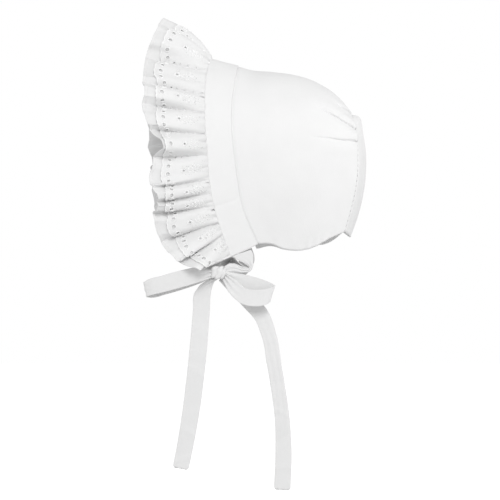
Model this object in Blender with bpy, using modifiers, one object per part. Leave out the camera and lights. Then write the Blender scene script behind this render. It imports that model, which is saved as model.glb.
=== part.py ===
"""Baby bonnet of white cotton: crown, back panel, front band, two gathered ruffles and ties in a bow.

The face looks along -X, the back of the head along +X, and +Z is up. The symmetry plane of the head is y = 0,
and the bow sits at the near corner of the face opening, on the -Y side. The origin is the inner top of the crown.
"""

import math

import bmesh
import bpy
import numpy as np
from mathutils import Matrix, Vector

# Sizes in metres

# Cloth thickness and the clearance kept at a seam
CLOTH = 0.0014
BAND_CLOTH = 0.0022
RUFFLE_CLOTH = 0.0010
TIE_CLOTH = 0.0012
SEAM_GAP = 0.0003

# The crown and the head that it fits
CROWN_DEPTH = 0.1025
CROWN_FRONT = 0.0423
CROWN_RISE = 0.0076
HEAD_SEAM_HEIGHT = 0.1610
HEAD_HALF_WIDTH = 0.0600
NECK_HALF_WIDTH = 0.0460
PLEAT_DEPTH = 0.0026
PLEAT_WIDTH = 0.0065

# The back panel
BACK_BULGE = 0.0077
BACK_NECK_DIP = 0.0050

# The band round the face
BAND_WIDTH = 0.0246
BAND_RISE = 0.0064
BAND_DROP = 0.0115

# The ruffles
EYELET_RUFFLE_WIDTH = 0.0480
PLAIN_RUFFLE_WIDTH = 0.0570
SCALLOP_CLOTH = 0.0310
SCALLOP_DEPTH = 0.0080
EYELET_DIAMETER = 0.0034
EYELET_INSET = 0.0055
RUFFLE_SPREAD = 0.0012
HEM_FOLD = 0.55

# The ties and the bow
TIE_WIDTH = 0.0145
KNOT_WIDTH = 0.0118
KNOT_HEIGHT = 0.0118
KNOT_THICKNESS = 0.0130
KNOT_FORWARD = 0.0110
KNOT_DROP = 0.0148
KNOT_OUT = 0.0060
LOOP_LEFT_LENGTH = 0.0605
LOOP_RIGHT_LENGTH = 0.0440
END_LEFT_LENGTH = 0.1700
END_RIGHT_LENGTH = 0.1890
CHIN_SAG = 0.0237

# Number of faces
SEAM_STEPS = 30
CROWN_STEPS = 9
BACK_STEPS = 12
BAND_STEPS = 2
LOBE_STEPS = 6
RUFFLE_ROWS = 3
EYELETS_IN_SCALLOP = 3
STRAP_STEPS = 13

# Forward bow of the band's two seams, as shares of HEAD_SEAM_HEIGHT
# columns: share of the drop, front seam, rear seam
SEAM_BOW = [
    (0.00, 0.000, 0.000),
    (0.10, 0.033, 0.030),
    (0.22, 0.053, 0.058),
    (0.35, 0.066, 0.074),
    (0.50, 0.070, 0.077),
    (0.65, 0.073, 0.073),
    (0.78, 0.058, 0.066),
    (0.90, 0.030, 0.035),
    (1.00, 0.000, 0.000),
]

# The crown from the band to the back seam
# columns: share of CROWN_DEPTH along the top, then as shares of HEAD_SEAM_HEIGHT the fall of the top, the setback
# and the rise of the neck edge and the bow, then shares of HEAD_HALF_WIDTH, NECK_HALF_WIDTH and of the arch's drop
CROWN = [
    (0.00, 0.000, 0.112, 0.000, -0.077, 1.00, 1.00, 0.42),
    (0.11, 0.021, 0.099, 0.002, -0.066, 1.02, 1.00, 0.42),
    (0.30, 0.031, 0.066, -0.028, -0.043, 1.05, 1.01, 0.42),
    (0.50, 0.052, 0.027, -0.036, -0.019, 1.05, 1.00, 0.42),
    (0.70, 0.095, -0.012, -0.012, 0.006, 1.00, 0.95, 0.42),
    (0.86, 0.157, -0.034, 0.034, 0.028, 0.88, 0.88, 0.41),
    (0.95, 0.218, -0.038, 0.058, 0.042, 0.78, 0.82, 0.40),
    (1.00, 0.272, -0.041, 0.070, 0.053, 0.70, 0.77, 0.40),
]

# Pleats at the back seam, the same on both sides
# columns: place on the seam from the top to the neck, length as a share of CROWN_DEPTH, shift of the front tip
# as a share of the seam, depth as a share of PLEAT_DEPTH
PLEATS = [
    (0.085, 0.20, 0.070, 0.75),
    (0.255, 0.34, 0.035, 1.00),
    (0.370, 0.42, 0.108, 0.85),
]

# How the ruffles stand from the seam
# columns: share of the half seam from the top to the corner, outward lean on the near side and on the far side,
# fan towards the neck near and far in degrees, width shares of the eyelet ruffle and of the near plain ruffle
RUFFLE_STAND = [
    (0.000, 48, 48, 0, 0, 1.00, 1.00),
    (0.050, 43, 44, 0, 0, 1.00, 1.00),
    (0.110, 29, 39, 0, 3, 1.00, 1.00),
    (0.165, 15, 35, -3, 5, 1.00, 1.00),
    (0.220, 8, 29, -5, 6, 1.00, 1.00),
    (0.295, 16, 22, -7, 5, 1.00, 1.00),
    (0.350, 20, 19, -6, 4, 1.00, 1.00),
    (0.400, 17, 17, -4, 4, 1.00, 1.00),
    (0.470, 26, 15, -7, 4, 0.99, 0.92),
    (0.520, 33, 15, -8, 4, 0.98, 0.84),
    (0.600, 19, 15, 5, 3, 0.98, 0.99),
    (0.660, 32, 15, 0, 1, 0.98, 0.98),
    (0.720, 28, 15, -4, 0, 0.98, 0.91),
    (0.775, 17, 18, -8, 0, 0.98, 0.98),
    (0.815, 10, 20, -6, 1, 0.98, 0.99),
    (0.860, 18, 22, 4, 1, 0.92, 0.93),
    (0.940, 38, 30, 4, 0, 0.76, 0.76),
    (1.000, 42, 38, -5, -5, 0.62, 0.62),
]

# Seam places where one lobe of the ruffles ends and the next begins, as shares of the half seam
LOBE_ENDS = [0.050, 0.165, 0.295, 0.375, 0.470, 0.555, 0.660, 0.720, 0.775, 0.845, 0.905, 1.000]

# The straps, each along its middle line
# columns: aside (+X), back (+Y) and up (+Z), as shares of the strap's own length, width as a share of TIE_WIDTH,
# and the turn of the width from upright towards +X in degrees; the far tie's third column is in shares of CHIN_SAG
NEAR_TIE = [
    (0.00, 0.00, 0.000, 1.00, 66),
    (0.10, -0.02, -0.210, 0.84, 76),
    (0.17, -0.03, -0.400, 0.50, 96),
    (0.12, -0.02, -0.540, 0.36, 140),
    (-0.10, 0.00, -0.620, 0.46, 172),
    (-0.42, -0.02, -0.680, 0.58, 178),
    (-0.755, -0.095, -0.750, 0.42, 176),
]
FAR_TIE = [
    (0.00, 0.00, 0.00, 1.00, 66),
    (0.02, -0.08, -0.27, 1.00, 78),
    (-0.03, -0.30, -0.73, 1.00, 86),
    (-0.12, -0.60, -1.00, 0.96, 90),
    (-0.20, -0.82, -0.96, 0.75, 90),
    (-0.248, -0.983, -0.846, 0.45, 90),
]
LOOP_LEFT = [
    (0.000, 0.02, 0.000, 0.42, 0),
    (-0.170, 0.055, -0.030, 0.86, -6),
    (-0.430, 0.070, -0.105, 1.02, -10),
    (-0.720, 0.060, -0.190, 1.02, -12),
    (-0.930, 0.035, -0.245, 0.98, -12),
    (-1.000, -0.010, -0.240, 0.90, -12),
    (-0.930, -0.055, -0.205, 0.98, -12),
    (-0.720, -0.090, -0.150, 1.02, -12),
    (-0.430, -0.100, -0.070, 1.02, -10),
    (-0.170, -0.075, -0.012, 0.86, -4),
    (0.000, -0.035, 0.000, 0.42, 0),
]
LOOP_RIGHT = [
    (0.00, 0.015, -0.03, 0.42, 0),
    (0.26, 0.055, -0.14, 0.88, 12),
    (0.58, 0.065, -0.23, 1.00, 14),
    (0.87, 0.040, -0.34, 1.00, 14),
    (1.00, -0.040, -0.41, 0.98, 4),
    (0.90, -0.150, -0.46, 1.00, -4),
    (0.65, -0.195, -0.50, 1.02, -2),
    (0.42, -0.190, -0.46, 1.00, 12),
    (0.22, -0.150, -0.30, 0.86, 34),
    (0.03, -0.070, -0.08, 0.44, 30),
]
END_LEFT = [
    (0.000, 0.012, 0.000, 0.42, 84),
    (-0.040, 0.040, -0.030, 0.86, 78),
    (-0.062, 0.050, -0.075, 1.04, 86),
    (-0.068, 0.045, -0.160, 1.04, 90),
    (-0.080, 0.030, -0.320, 1.06, 92),
    (-0.098, 0.022, -0.500, 1.08, 94),
    (-0.122, 0.026, -0.690, 1.06, 97),
    (-0.150, 0.030, -0.860, 1.02, 99),
    (-0.178, 0.026, -1.000, 0.98, 100),
]
END_RIGHT = [
    (0.000, 0.012, 0.000, 0.42, 60),
    (0.060, 0.040, -0.040, 0.90, 48),
    (0.130, 0.046, -0.110, 1.00, 52),
    (0.185, 0.040, -0.175, 0.98, 66),
    (0.222, 0.030, -0.270, 0.90, 80),
    (0.245, 0.022, -0.400, 0.88, 81),
    (0.268, 0.018, -0.540, 0.88, 81),
    (0.285, 0.020, -0.680, 0.92, 84),
    (0.290, 0.024, -0.820, 1.00, 90),
    (0.284, 0.022, -1.000, 1.02, 93),
]

WHITE = (0.90, 0.90, 0.89, 1.0)
PALE = (0.84, 0.84, 0.84, 1.0)


# Clear the scene and make the two collections

for old in list(bpy.data.objects):
    bpy.data.objects.remove(old, do_unlink=True)


def new_collection(name):
    collection = bpy.data.collections.new(name)
    bpy.context.scene.collection.children.link(collection)
    return collection


BONNET = new_collection("Baby bonnet")
CUTTERS = new_collection("Cutters")


# Helpers

def curve(table, column, at):
    """One column of a table on a smooth curve through its rows, read at the shares in `at`."""
    rows = np.array(table, float)
    x = rows[:, 0]
    y = rows[:, column]
    slope = np.gradient(y, x)
    at = np.clip(at, x[0], x[-1])
    i = np.clip(np.searchsorted(x, at, side="right") - 1, 0, len(x) - 2)
    step = x[i + 1] - x[i]
    t = (at - x[i]) / step
    start = (2 * t**3 - 3 * t**2 + 1) * y[i] + (t**3 - 2 * t**2 + t) * step * slope[i]
    finish = (3 * t**2 - 2 * t**3) * y[i + 1] + (t**3 - t**2) * step * slope[i + 1]
    return start + finish


def unit(vectors):
    return vectors / np.linalg.norm(vectors, axis=-1, keepdims=True)


def material_for(name, colour, roughness):
    material = bpy.data.materials.new(name)
    material.use_nodes = True
    shader = material.node_tree.nodes["Principled BSDF"]
    shader.inputs["Base Color"].default_value = colour
    shader.inputs["Roughness"].default_value = roughness
    shader.inputs["Metallic"].default_value = 0.0
    return material


def add_object(name, mesh, collection, colour=WHITE):
    mesh.materials.append(material_for(name + " cloth", colour, 0.9))
    item = bpy.data.objects.new(name, mesh)
    collection.objects.link(item)
    return item


def sheet_mesh(name, points):
    """A surface of quads through a grid of points, with points that fall together merged."""
    rows, columns = points.shape[:2]
    build = bmesh.new()
    verts = [build.verts.new(Vector(p)) for p in points.reshape(-1, 3)]
    for i in range(rows - 1):
        for j in range(columns - 1):
            a = i * columns + j
            build.faces.new((verts[a], verts[a + 1], verts[a + columns + 1], verts[a + columns]))
    bmesh.ops.remove_doubles(build, verts=build.verts, dist=0.00002)
    bmesh.ops.recalc_face_normals(build, faces=build.faces)
    mesh = bpy.data.meshes.new(name)
    build.to_mesh(mesh)
    build.free()
    mesh.shade_smooth()
    return mesh


def add_cloth(name, points, thickness, colour=WHITE):
    """A piece of cloth: the surface through `points`, thickened evenly to both sides."""
    item = add_object(name, sheet_mesh(name, points), BONNET, colour)
    solid = item.modifiers.new("Cloth thickness", "SOLIDIFY")
    solid.thickness = thickness
    solid.offset = 0.0
    return item


# Seams over the head

def rail(top, neck, half, neck_half, arch, bow, u):
    """Points of one seam over the head, evenly spaced in length.

    u runs from -1 at the near neck edge over the top (0) to 1 at the far neck edge. The upper part is a quarter
    ellipse that falls by the share `arch`, the lower part draws in from `half` to `neck_half`.
    """
    g = np.linspace(0.0, 1.0, 401)
    turn = np.clip(g / 0.54, 0.0, 1.0) * math.pi / 2
    side = np.clip((g - 0.54) / 0.46, 0.0, 1.0)
    drop = arch * (1 - np.cos(turn)) + (1 - arch) * side
    y = np.where(g < 0.54, half * np.sin(turn), neck_half + (half - neck_half) * np.cos(side * math.pi / 2))
    x = top[0] + (neck[0] - top[0]) * drop + bow(drop)
    z = top[1] + (neck[1] - top[1]) * drop
    line = np.stack([x, y, z], axis=-1)
    length = np.concatenate([[0.0], np.cumsum(np.linalg.norm(np.diff(line, axis=0), axis=1))])
    share = length / length[-1]
    part = np.abs(u)
    x = np.interp(part, share, x)
    y = np.sign(u) * np.interp(part, share, y)
    z = np.interp(part, share, z)
    return np.stack([x, y, z], axis=-1)


def crown_rail(s, u):
    """The crown's line at the share s of its depth."""
    fall, setback, rise, bow, half, neck_half, arch = (float(curve(CROWN, i, np.array(s))) for i in range(1, 8))
    top = (-CROWN_FRONT + CROWN_DEPTH * s, CROWN_RISE - HEAD_SEAM_HEIGHT * fall)
    neck = (top[0] + HEAD_SEAM_HEIGHT * setback, CROWN_RISE - HEAD_SEAM_HEIGHT * (1 - rise))

    def bow_of(drop):
        front = -curve(SEAM_BOW, 2, drop) * HEAD_SEAM_HEIGHT
        back = np.sin(math.pi * drop) * HEAD_SEAM_HEIGHT * 0.053
        share = (bow + 0.077) / 0.130
        return front * (1 - share) + back * share

    return rail(top, neck, HEAD_HALF_WIDTH * half, NECK_HALF_WIDTH * neck_half, arch, bow_of, u)


def band_rail(u):
    """The band's front seam."""
    top = (-CROWN_FRONT - BAND_WIDTH * 1.035, CROWN_RISE + BAND_RISE)
    neck = (-CROWN_FRONT + HEAD_SEAM_HEIGHT * 0.112 - BAND_WIDTH, CROWN_RISE - HEAD_SEAM_HEIGHT - BAND_DROP)

    def bow_of(drop):
        return -curve(SEAM_BOW, 1, drop) * HEAD_SEAM_HEIGHT

    return rail(top, neck, HEAD_HALF_WIDTH * 0.985, NECK_HALF_WIDTH * 0.99, 0.42, bow_of, u)


# Crown with its pleats

def crown_surface():
    u = np.linspace(-1.0, 1.0, 2 * SEAM_STEPS + 1)
    u = np.sign(u) * np.abs(u) ** 1.25
    s = np.linspace(0.0, 1.0, CROWN_STEPS + 1)
    start = 1.7 * SEAM_GAP / CROWN_DEPTH
    s = start + (1 - start) * s
    grid = np.array([crown_rail(value, u) for value in s])
    along = np.gradient(grid, axis=0)
    across = np.gradient(grid, axis=1)
    outward = unit(np.cross(across, along))
    seam = np.concatenate([[0.0], np.cumsum(np.linalg.norm(np.diff(grid[-1], axis=0), axis=1))])
    half_seam = seam[-1] / 2
    fold = np.zeros(grid.shape[:2])
    for place, length, shift, depth in PLEATS:
        nearness = np.clip((s - (1 - length)) / length, 0.0, 1.0)[:, None]
        centre = place + shift * (1 - nearness)
        across_fold = (np.abs(u)[None, :] - centre) * half_seam / PLEAT_WIDTH
        ridge = np.exp(-across_fold**2) - 0.8 * np.exp(-(across_fold - 1.0) ** 2)
        fold += ridge * nearness**1.2 * depth * PLEAT_DEPTH
    return grid + outward * fold[..., None]


crown_points = crown_surface()
add_cloth("crown", crown_points, CLOTH)


# Back panel, bulged inside the back seam

def back_surface():
    g = np.linspace(0.0, 1.0, BACK_STEPS + 1) ** 1.15
    v = np.linspace(-1.0, 1.0, BACK_STEPS + 1)
    near = crown_rail(1.0, -g)
    centre = np.array([near[:, 0].mean(), 0.0, (near[0, 2] + near[-1, 2]) / 2])
    inset = CLOTH * 0.5 + SEAM_GAP * 2
    towards = unit(centre - near)
    edge = near + towards * inset
    edge[:, 1] = np.minimum(edge[:, 1], 0.0)
    edge[-1, 2] = near[-1, 2]
    bulge = BACK_BULGE * np.clip(g / 0.12, 0.0, 1.0) ** 0.5 * (1 - 0.25 * g**6)
    dip = BACK_NECK_DIP * g**3
    round_off = 1 - v**2
    x = edge[:, 0][:, None] + bulge[:, None] * round_off
    y = -edge[:, 1][:, None] * v
    z = edge[:, 2][:, None] - dip[:, None] * round_off
    return np.stack([x, y, z], axis=-1)


add_cloth("back_panel", back_surface(), CLOTH)


# Front band

def band_surface():
    u = np.linspace(-1.0, 1.0, SEAM_STEPS + 11)
    front = band_rail(u)
    rear = crown_rail(0.0, u)
    return np.array([front + (rear - front) * v for v in np.linspace(0.0, 1.0, BAND_STEPS + 1)])


add_cloth("front_band", band_surface(), BAND_CLOTH)


# Ruffles, gathered into the band's front seam

LOBES = np.array([-end for end in reversed(LOBE_ENDS)] + LOBE_ENDS)


def seam_frame(u):
    """The seam's point and its forward, outward and neckward directions at u."""
    step = 0.002
    low = np.clip(u - step, -1.0, 1.0)
    high = np.clip(u + step, -1.0, 1.0)
    point = band_rail(u)
    tangent = unit(band_rail(high) - band_rail(low))
    outward = unit(np.cross(tangent, np.array([-1.0, 0.0, 0.0])))
    forward = unit(np.cross(outward, tangent))
    side = np.where(u < 0, -1.0, 1.0)[..., None]
    return point, forward, outward, tangent * side


def ruffle_stand(u):
    """The ruffle's own direction, its outward normal and the neckward direction at u."""
    point, forward, outward, neckward = seam_frame(u)
    share = np.abs(u)
    near = np.radians(curve(RUFFLE_STAND, 1, share))
    far = np.radians(curve(RUFFLE_STAND, 2, share))
    lean = np.where(u < 0, near, far)[..., None]
    fan = np.where(u < 0, curve(RUFFLE_STAND, 3, share), curve(RUFFLE_STAND, 4, share))
    fan = np.radians(fan)[..., None]
    out = forward * np.cos(lean) + outward * np.sin(lean)
    normal = outward * np.cos(lean) - forward * np.sin(lean)
    return point, forward, out * np.cos(fan) + neckward * np.sin(fan), normal, neckward


def lobe_depths():
    """Depth of each lobe's fold: what its length of cloth leaves over its width at the free edge."""
    point, forward, out, normal, neckward = ruffle_stand(LOBES)
    edge = point + out * EYELET_RUFFLE_WIDTH
    width = np.linalg.norm(np.diff(edge, axis=0), axis=1)
    spare = np.maximum(SCALLOP_CLOTH**2 - width**2, (0.45 * SCALLOP_CLOTH) ** 2)
    return np.minimum(np.sqrt(spare) / 4, 0.30 * width), width


LOBE_DEPTH, LOBE_WIDTH = lobe_depths()


def lobe_place(u):
    """The lobe that u lies in, and how far it lies between the lobe's two ends."""
    index = np.clip(np.searchsorted(LOBES, u, side="right") - 1, 0, len(LOBES) - 2)
    return index, (u - LOBES[index]) / (LOBES[index + 1] - LOBES[index])


def ruffle_middle(u, r, fold=1.0):
    """The surface at the distance r from the seam, with lobes of the share `fold` of their height."""
    point, forward, out, normal, neckward = ruffle_stand(u)
    tilt = np.sum(out * forward, axis=-1, keepdims=True)
    stand_off = np.sqrt(np.clip(1 - tilt**2, 0.0, 1.0)) * (RUFFLE_CLOTH + SEAM_GAP / 2)
    root = forward * (1.4 * SEAM_GAP + stand_off)
    index, place = lobe_place(u)
    grow = (r / EYELET_RUFFLE_WIDTH) ** 0.9
    calm = np.clip(0.2 + (u / 0.09) ** 2, 0.2, 1.0)
    crest = 2 * LOBE_DEPTH[index] * np.sin(math.pi * place) ** 1.3 * calm
    side = np.where(u < 0, -1.0, 1.0)
    sway = 0.05 * LOBE_WIDTH[index] * np.sin(4 * math.pi * place) * side
    lean = 0.15 * fold * crest * np.clip(np.abs(u) / 0.1, 0.0, 1.0)
    rise = fold * crest - 1.2 * LOBE_DEPTH.mean()
    move = normal * (rise * grow)[..., None] + neckward * ((sway + lean) * grow)[..., None]
    return point + root + out * r[..., None] + move


def ruffle_layer(u, r, offset, fold=1.0):
    """The surface moved by `offset` along its own normal."""
    step = 0.0004
    high = np.clip(u + step, -1.0, 1.0)
    low = np.clip(u - step, -1.0, 1.0)
    beyond = r + RUFFLE_CLOTH * 0.2
    before = np.maximum(r - RUFFLE_CLOTH * 0.2, 0.0)
    along = ruffle_middle(high, r, fold) - ruffle_middle(low, r, fold)
    out = ruffle_middle(u, beyond, fold) - ruffle_middle(u, before, fold)
    normal = unit(np.cross(along, out))
    return ruffle_middle(u, r, fold) + normal * offset[..., None], normal


def hem_fold(r):
    """Share of the lobes' height that the plain ruffle keeps, less towards its hem."""
    start = 0.84 * EYELET_RUFFLE_WIDTH
    t = np.clip((r - start) / (1.05 * PLAIN_RUFFLE_WIDTH - start), 0.0, 1.0)
    return 1 - (1 - HEM_FOLD) * (3 * t**2 - 2 * t**3)


def scallop_width(u):
    """Width of the eyelet ruffle from the seam to its scalloped edge."""
    _, place = lobe_place(u)
    round_edge = np.sqrt(np.clip(1 - 0.96 * (2 * place - 1) ** 2, 0.0, 1.0))
    return curve(RUFFLE_STAND, 5, np.abs(u)) * (EYELET_RUFFLE_WIDTH - SCALLOP_DEPTH * (1 - round_edge))


def ruffle_columns():
    parts = [np.linspace(a, b, LOBE_STEPS, endpoint=False) for a, b in zip(LOBES[:-1], LOBES[1:])]
    return np.concatenate(parts + [[1.0]])


u_grid = ruffle_columns()
rows = np.linspace(0.0, 1.0, RUFFLE_ROWS + 1)[:, None]
reach = rows * scallop_width(u_grid)[None, :]
layer_gap = RUFFLE_CLOTH / 2 + SEAM_GAP / 2
eyelet_points, _ = ruffle_layer(np.broadcast_to(u_grid, reach.shape), reach, np.full(reach.shape, layer_gap))
eyelet_ruffle = add_cloth("eyelet_ruffle", eyelet_points, RUFFLE_CLOTH)

share = np.where(u_grid < 0, curve(RUFFLE_STAND, 6, np.abs(u_grid)), curve(RUFFLE_STAND, 5, np.abs(u_grid)))
hem = np.maximum(PLAIN_RUFFLE_WIDTH * share, scallop_width(u_grid) * 1.02)
reach = np.concatenate([reach, hem[None, :]])
plain_offset = -layer_gap - RUFFLE_SPREAD * reach / PLAIN_RUFFLE_WIDTH
plain_points, _ = ruffle_layer(np.broadcast_to(u_grid, reach.shape), reach, plain_offset, hem_fold(reach))
add_cloth("plain_ruffle", plain_points, RUFFLE_CLOTH)


# Eyelets cut through the scalloped border

def cut_eyelets():
    build = bmesh.new()
    for a, b in zip(LOBES[:-1], LOBES[1:]):
        places = (np.arange(EYELETS_IN_SCALLOP) + 0.5) / EYELETS_IN_SCALLOP
        places = 0.5 + (places - 0.5) * 0.86
        u = a + (b - a) * places
        r = scallop_width(u) - EYELET_INSET
        points, normals = ruffle_layer(u, r, np.full(u.shape, layer_gap))
        for point, normal in zip(points, normals):
            turn = Vector(normal).to_track_quat("Z", "Y").to_matrix().to_4x4()
            bmesh.ops.create_cone(
                build,
                cap_ends=True,
                segments=6,
                radius1=EYELET_DIAMETER / 2,
                radius2=EYELET_DIAMETER / 2,
                depth=RUFFLE_CLOTH * 3.2,
                matrix=Matrix.Translation(Vector(point)) @ turn,
            )
    mesh = bpy.data.meshes.new("eyelet cutters")
    build.to_mesh(mesh)
    build.free()
    cutter = bpy.data.objects.new("eyelet_cutters", mesh)
    CUTTERS.objects.link(cutter)
    cutter.hide_render = True
    cutter.display_type = "WIRE"
    cut = eyelet_ruffle.modifiers.new("Eyelets", "BOOLEAN")
    cut.operation = "DIFFERENCE"
    cut.solver = "EXACT"
    cut.object = cutter


cut_eyelets()


# Ties and bow

def strap_surface(start, table, length, across):
    """A strap along a table's middle line, smoothed by its length, with its width turned row by row."""
    rows = np.array(table, float)
    middle = start + rows[:, :3] * length
    steps = np.linalg.norm(np.diff(middle, axis=0), axis=1)
    share = np.concatenate([[0.0], np.cumsum(steps)]) / steps.sum()
    smooth = np.column_stack([share, middle, rows[:, 3:]])
    count = max(STRAP_STEPS, int(round(steps.sum() / TIE_WIDTH * 1.6)))
    at = np.linspace(0.0, 1.0, count + 1)
    line = np.stack([curve(smooth, i, at) for i in (1, 2, 3)], axis=-1)
    width = curve(smooth, 4, at) * TIE_WIDTH
    turn = np.radians(curve(smooth, 5, at))
    side = np.stack([np.sin(turn), np.zeros_like(turn), np.cos(turn)], axis=-1)
    v = np.linspace(-0.5, 0.5, across + 1)
    return line[:, None, :] + side[:, None, :] * (width[:, None] * v[None, :])[..., None]


near_corner = band_rail(np.array([-1.0]))[0]
near_heel = crown_rail(0.0, np.array([-1.0]))[0]
far_corner = band_rail(np.array([1.0]))[0]
far_heel = crown_rail(0.0, np.array([1.0]))[0]
knot = near_corner + np.array([-KNOT_FORWARD, -KNOT_OUT, -KNOT_DROP])

below = np.array([0.10, 0.0, -1.0]) * (TIE_CLOTH * 0.5 + SEAM_GAP)
run = TIE_WIDTH * 1.62
add_cloth("tie_near", strap_surface((near_corner + near_heel) / 2 + below, NEAR_TIE, run, 3), TIE_CLOTH, PALE)

chin = np.linalg.norm(far_corner - near_corner)
chin_table = [(x, y, z * CHIN_SAG / chin, width, turn) for x, y, z, width, turn in FAR_TIE]
add_cloth("tie_far", strap_surface((far_corner + far_heel) / 2 + below, chin_table, chin, 2), TIE_CLOTH, PALE)

reach = np.array([KNOT_WIDTH / 2 + SEAM_GAP, 0.0, 0.0])
under = np.array([KNOT_WIDTH * 0.3, 0.0, -KNOT_HEIGHT / 2 - SEAM_GAP])
mirror = np.array([-1.0, 1.0, 1.0])
add_cloth("bow_loop_left", strap_surface(knot - reach, LOOP_LEFT, LOOP_LEFT_LENGTH, 3), TIE_CLOTH, PALE)
add_cloth("bow_loop_right", strap_surface(knot + reach, LOOP_RIGHT, LOOP_RIGHT_LENGTH, 3), TIE_CLOTH, PALE)
add_cloth("tie_end_left", strap_surface(knot + under * mirror, END_LEFT, END_LEFT_LENGTH, 2), TIE_CLOTH, PALE)
add_cloth("tie_end_right", strap_surface(knot + under, END_RIGHT, END_RIGHT_LENGTH, 2), TIE_CLOTH, PALE)


def add_knot():
    build = bmesh.new()
    bmesh.ops.create_uvsphere(build, u_segments=14, v_segments=8, radius=0.5)
    bmesh.ops.scale(build, vec=(KNOT_WIDTH, KNOT_THICKNESS, KNOT_HEIGHT), verts=build.verts)
    mesh = bpy.data.meshes.new("bow_knot")
    build.to_mesh(mesh)
    build.free()
    mesh.shade_smooth()
    item = add_object("bow_knot", mesh, BONNET, PALE)
    item.location = Vector(knot)


add_knot()
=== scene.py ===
# %% [markdown]
# # A baby bonnet in white cotton
# The bonnet is shown as it is worn: a rounded crown with a back panel, a band round the face, an eyelet ruffle
# over a longer plain ruffle, and two ties in a bow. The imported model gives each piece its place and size, and the
# cells below make the cloth that is seen: finer surfaces, folds, cut eyelets, embroidery and stitches.

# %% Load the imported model
import math

import bpy
import numpy as np
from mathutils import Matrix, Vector
from mathutils.geometry import delaunay_2d_cdt


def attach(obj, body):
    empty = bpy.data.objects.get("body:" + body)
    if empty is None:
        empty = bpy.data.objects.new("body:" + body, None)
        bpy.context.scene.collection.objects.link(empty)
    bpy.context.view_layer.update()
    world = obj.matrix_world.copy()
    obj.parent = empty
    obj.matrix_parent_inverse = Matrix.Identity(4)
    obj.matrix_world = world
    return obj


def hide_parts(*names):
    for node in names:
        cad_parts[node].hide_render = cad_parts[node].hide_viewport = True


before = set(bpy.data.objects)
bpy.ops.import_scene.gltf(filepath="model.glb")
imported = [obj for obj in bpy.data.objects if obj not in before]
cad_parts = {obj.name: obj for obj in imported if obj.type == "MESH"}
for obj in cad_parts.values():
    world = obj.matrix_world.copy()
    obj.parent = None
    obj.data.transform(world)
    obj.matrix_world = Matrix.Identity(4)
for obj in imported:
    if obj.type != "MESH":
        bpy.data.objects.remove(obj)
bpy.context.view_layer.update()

# %% [markdown]
# ## Camera
# The picture looks straight at the side of the bonnet from far away. An orthographic camera would come close, but a
# long lens is used, because it keeps the slight perspective of a real one. One picture pixel is 0.9 mm on the plane
# just in front of the middle of the bonnet.

# %% Camera at the side of the bonnet
VIEW_WIDTH = 0.450
VIEW_CENTRE = Vector((-0.0315, -0.030, -0.1588))
LENS = 250.0
SENSOR_WIDTH = 36.0
FAR_CLIP = 60.0

camera_data = bpy.data.cameras.new("Side camera")
camera_data.lens = LENS
camera_data.sensor_width = SENSOR_WIDTH
camera_data.clip_end = FAR_CLIP
camera = bpy.data.objects.new("Side camera", camera_data)
distance = VIEW_WIDTH * LENS / camera_data.sensor_width
camera.location = VIEW_CENTRE - Vector((0.0, distance, 0.0))
camera.rotation_euler = (math.pi / 2, 0.0, 0.0)
bpy.context.scene.collection.objects.link(camera)
bpy.context.scene.camera = camera
print("camera distance", round(distance, 3), "m")

# %% [markdown]
# ## Sky
# White cloth on white is shown by its soft shadows alone, so the light has to be even without being flat. A ring of
# lamps could give that, but an even sky is simpler and has no edges. It shows white behind the bonnet and lights it a
# little less than that, so the folds keep their shadows.

# %% Even sky
SKY_LIGHT = 0.61

scene = bpy.context.scene
scene.view_settings.view_transform = "Standard"
scene.view_settings.look = "None"

world = bpy.data.worlds.new("Even sky")
world.use_nodes = True
sky = world.node_tree.nodes["Background"]
sky.inputs["Color"].default_value = (1.0, 1.0, 1.0, 1.0)
path = world.node_tree.nodes.new("ShaderNodeLightPath")
level = world.node_tree.nodes.new("ShaderNodeMapRange")
level.inputs["To Min"].default_value = SKY_LIGHT
level.inputs["To Max"].default_value = 1.0
world.node_tree.links.new(path.outputs["Is Camera Ray"], level.inputs["Value"])
world.node_tree.links.new(level.outputs["Result"], sky.inputs["Strength"])
scene.world = world
print("sky lights at", SKY_LIGHT)

# %% [markdown]
# ## Floor
# The floor is a plain pale sheet under the hanging ends. A brighter paint would throw more light up into the folds, so
# the paint stays grey and glows for the camera alone, which shows it as white as the sky.

# %% Pale floor
FLOOR_HEIGHT = -0.46
FLOOR_REACH = 6.0
FLOOR_TONE = 0.80
FLOOR_GLOW = 0.6

floor_mesh = bpy.data.meshes.new("floor")
corners = [(x * FLOOR_REACH, y * FLOOR_REACH, FLOOR_HEIGHT) for x, y in ((-1, -1), (1, -1), (1, 1), (-1, 1))]
floor_mesh.from_pydata(corners, [], [(0, 1, 2, 3)])
floor = bpy.data.objects.new("floor", floor_mesh)
scene.collection.objects.link(floor)
floor_paint = bpy.data.materials.new("Pale floor")
floor_paint.use_nodes = True
paint = floor_paint.node_tree.nodes["Principled BSDF"]
paint.inputs["Base Color"].default_value = (FLOOR_TONE, FLOOR_TONE, FLOOR_TONE, 1.0)
paint.inputs["Roughness"].default_value = 0.9
paint.inputs["Emission Color"].default_value = (1.0, 1.0, 1.0, 1.0)
seen = floor_paint.node_tree.nodes.new("ShaderNodeLightPath")
glow = floor_paint.node_tree.nodes.new("ShaderNodeMath")
glow.operation = "MULTIPLY"
glow.inputs[1].default_value = FLOOR_GLOW
floor_paint.node_tree.links.new(seen.outputs["Is Camera Ray"], glow.inputs[0])
floor_paint.node_tree.links.new(glow.outputs[0], paint.inputs["Emission Strength"])
floor_mesh.materials.append(floor_paint)
print("floor at", FLOOR_HEIGHT, "m")

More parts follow.
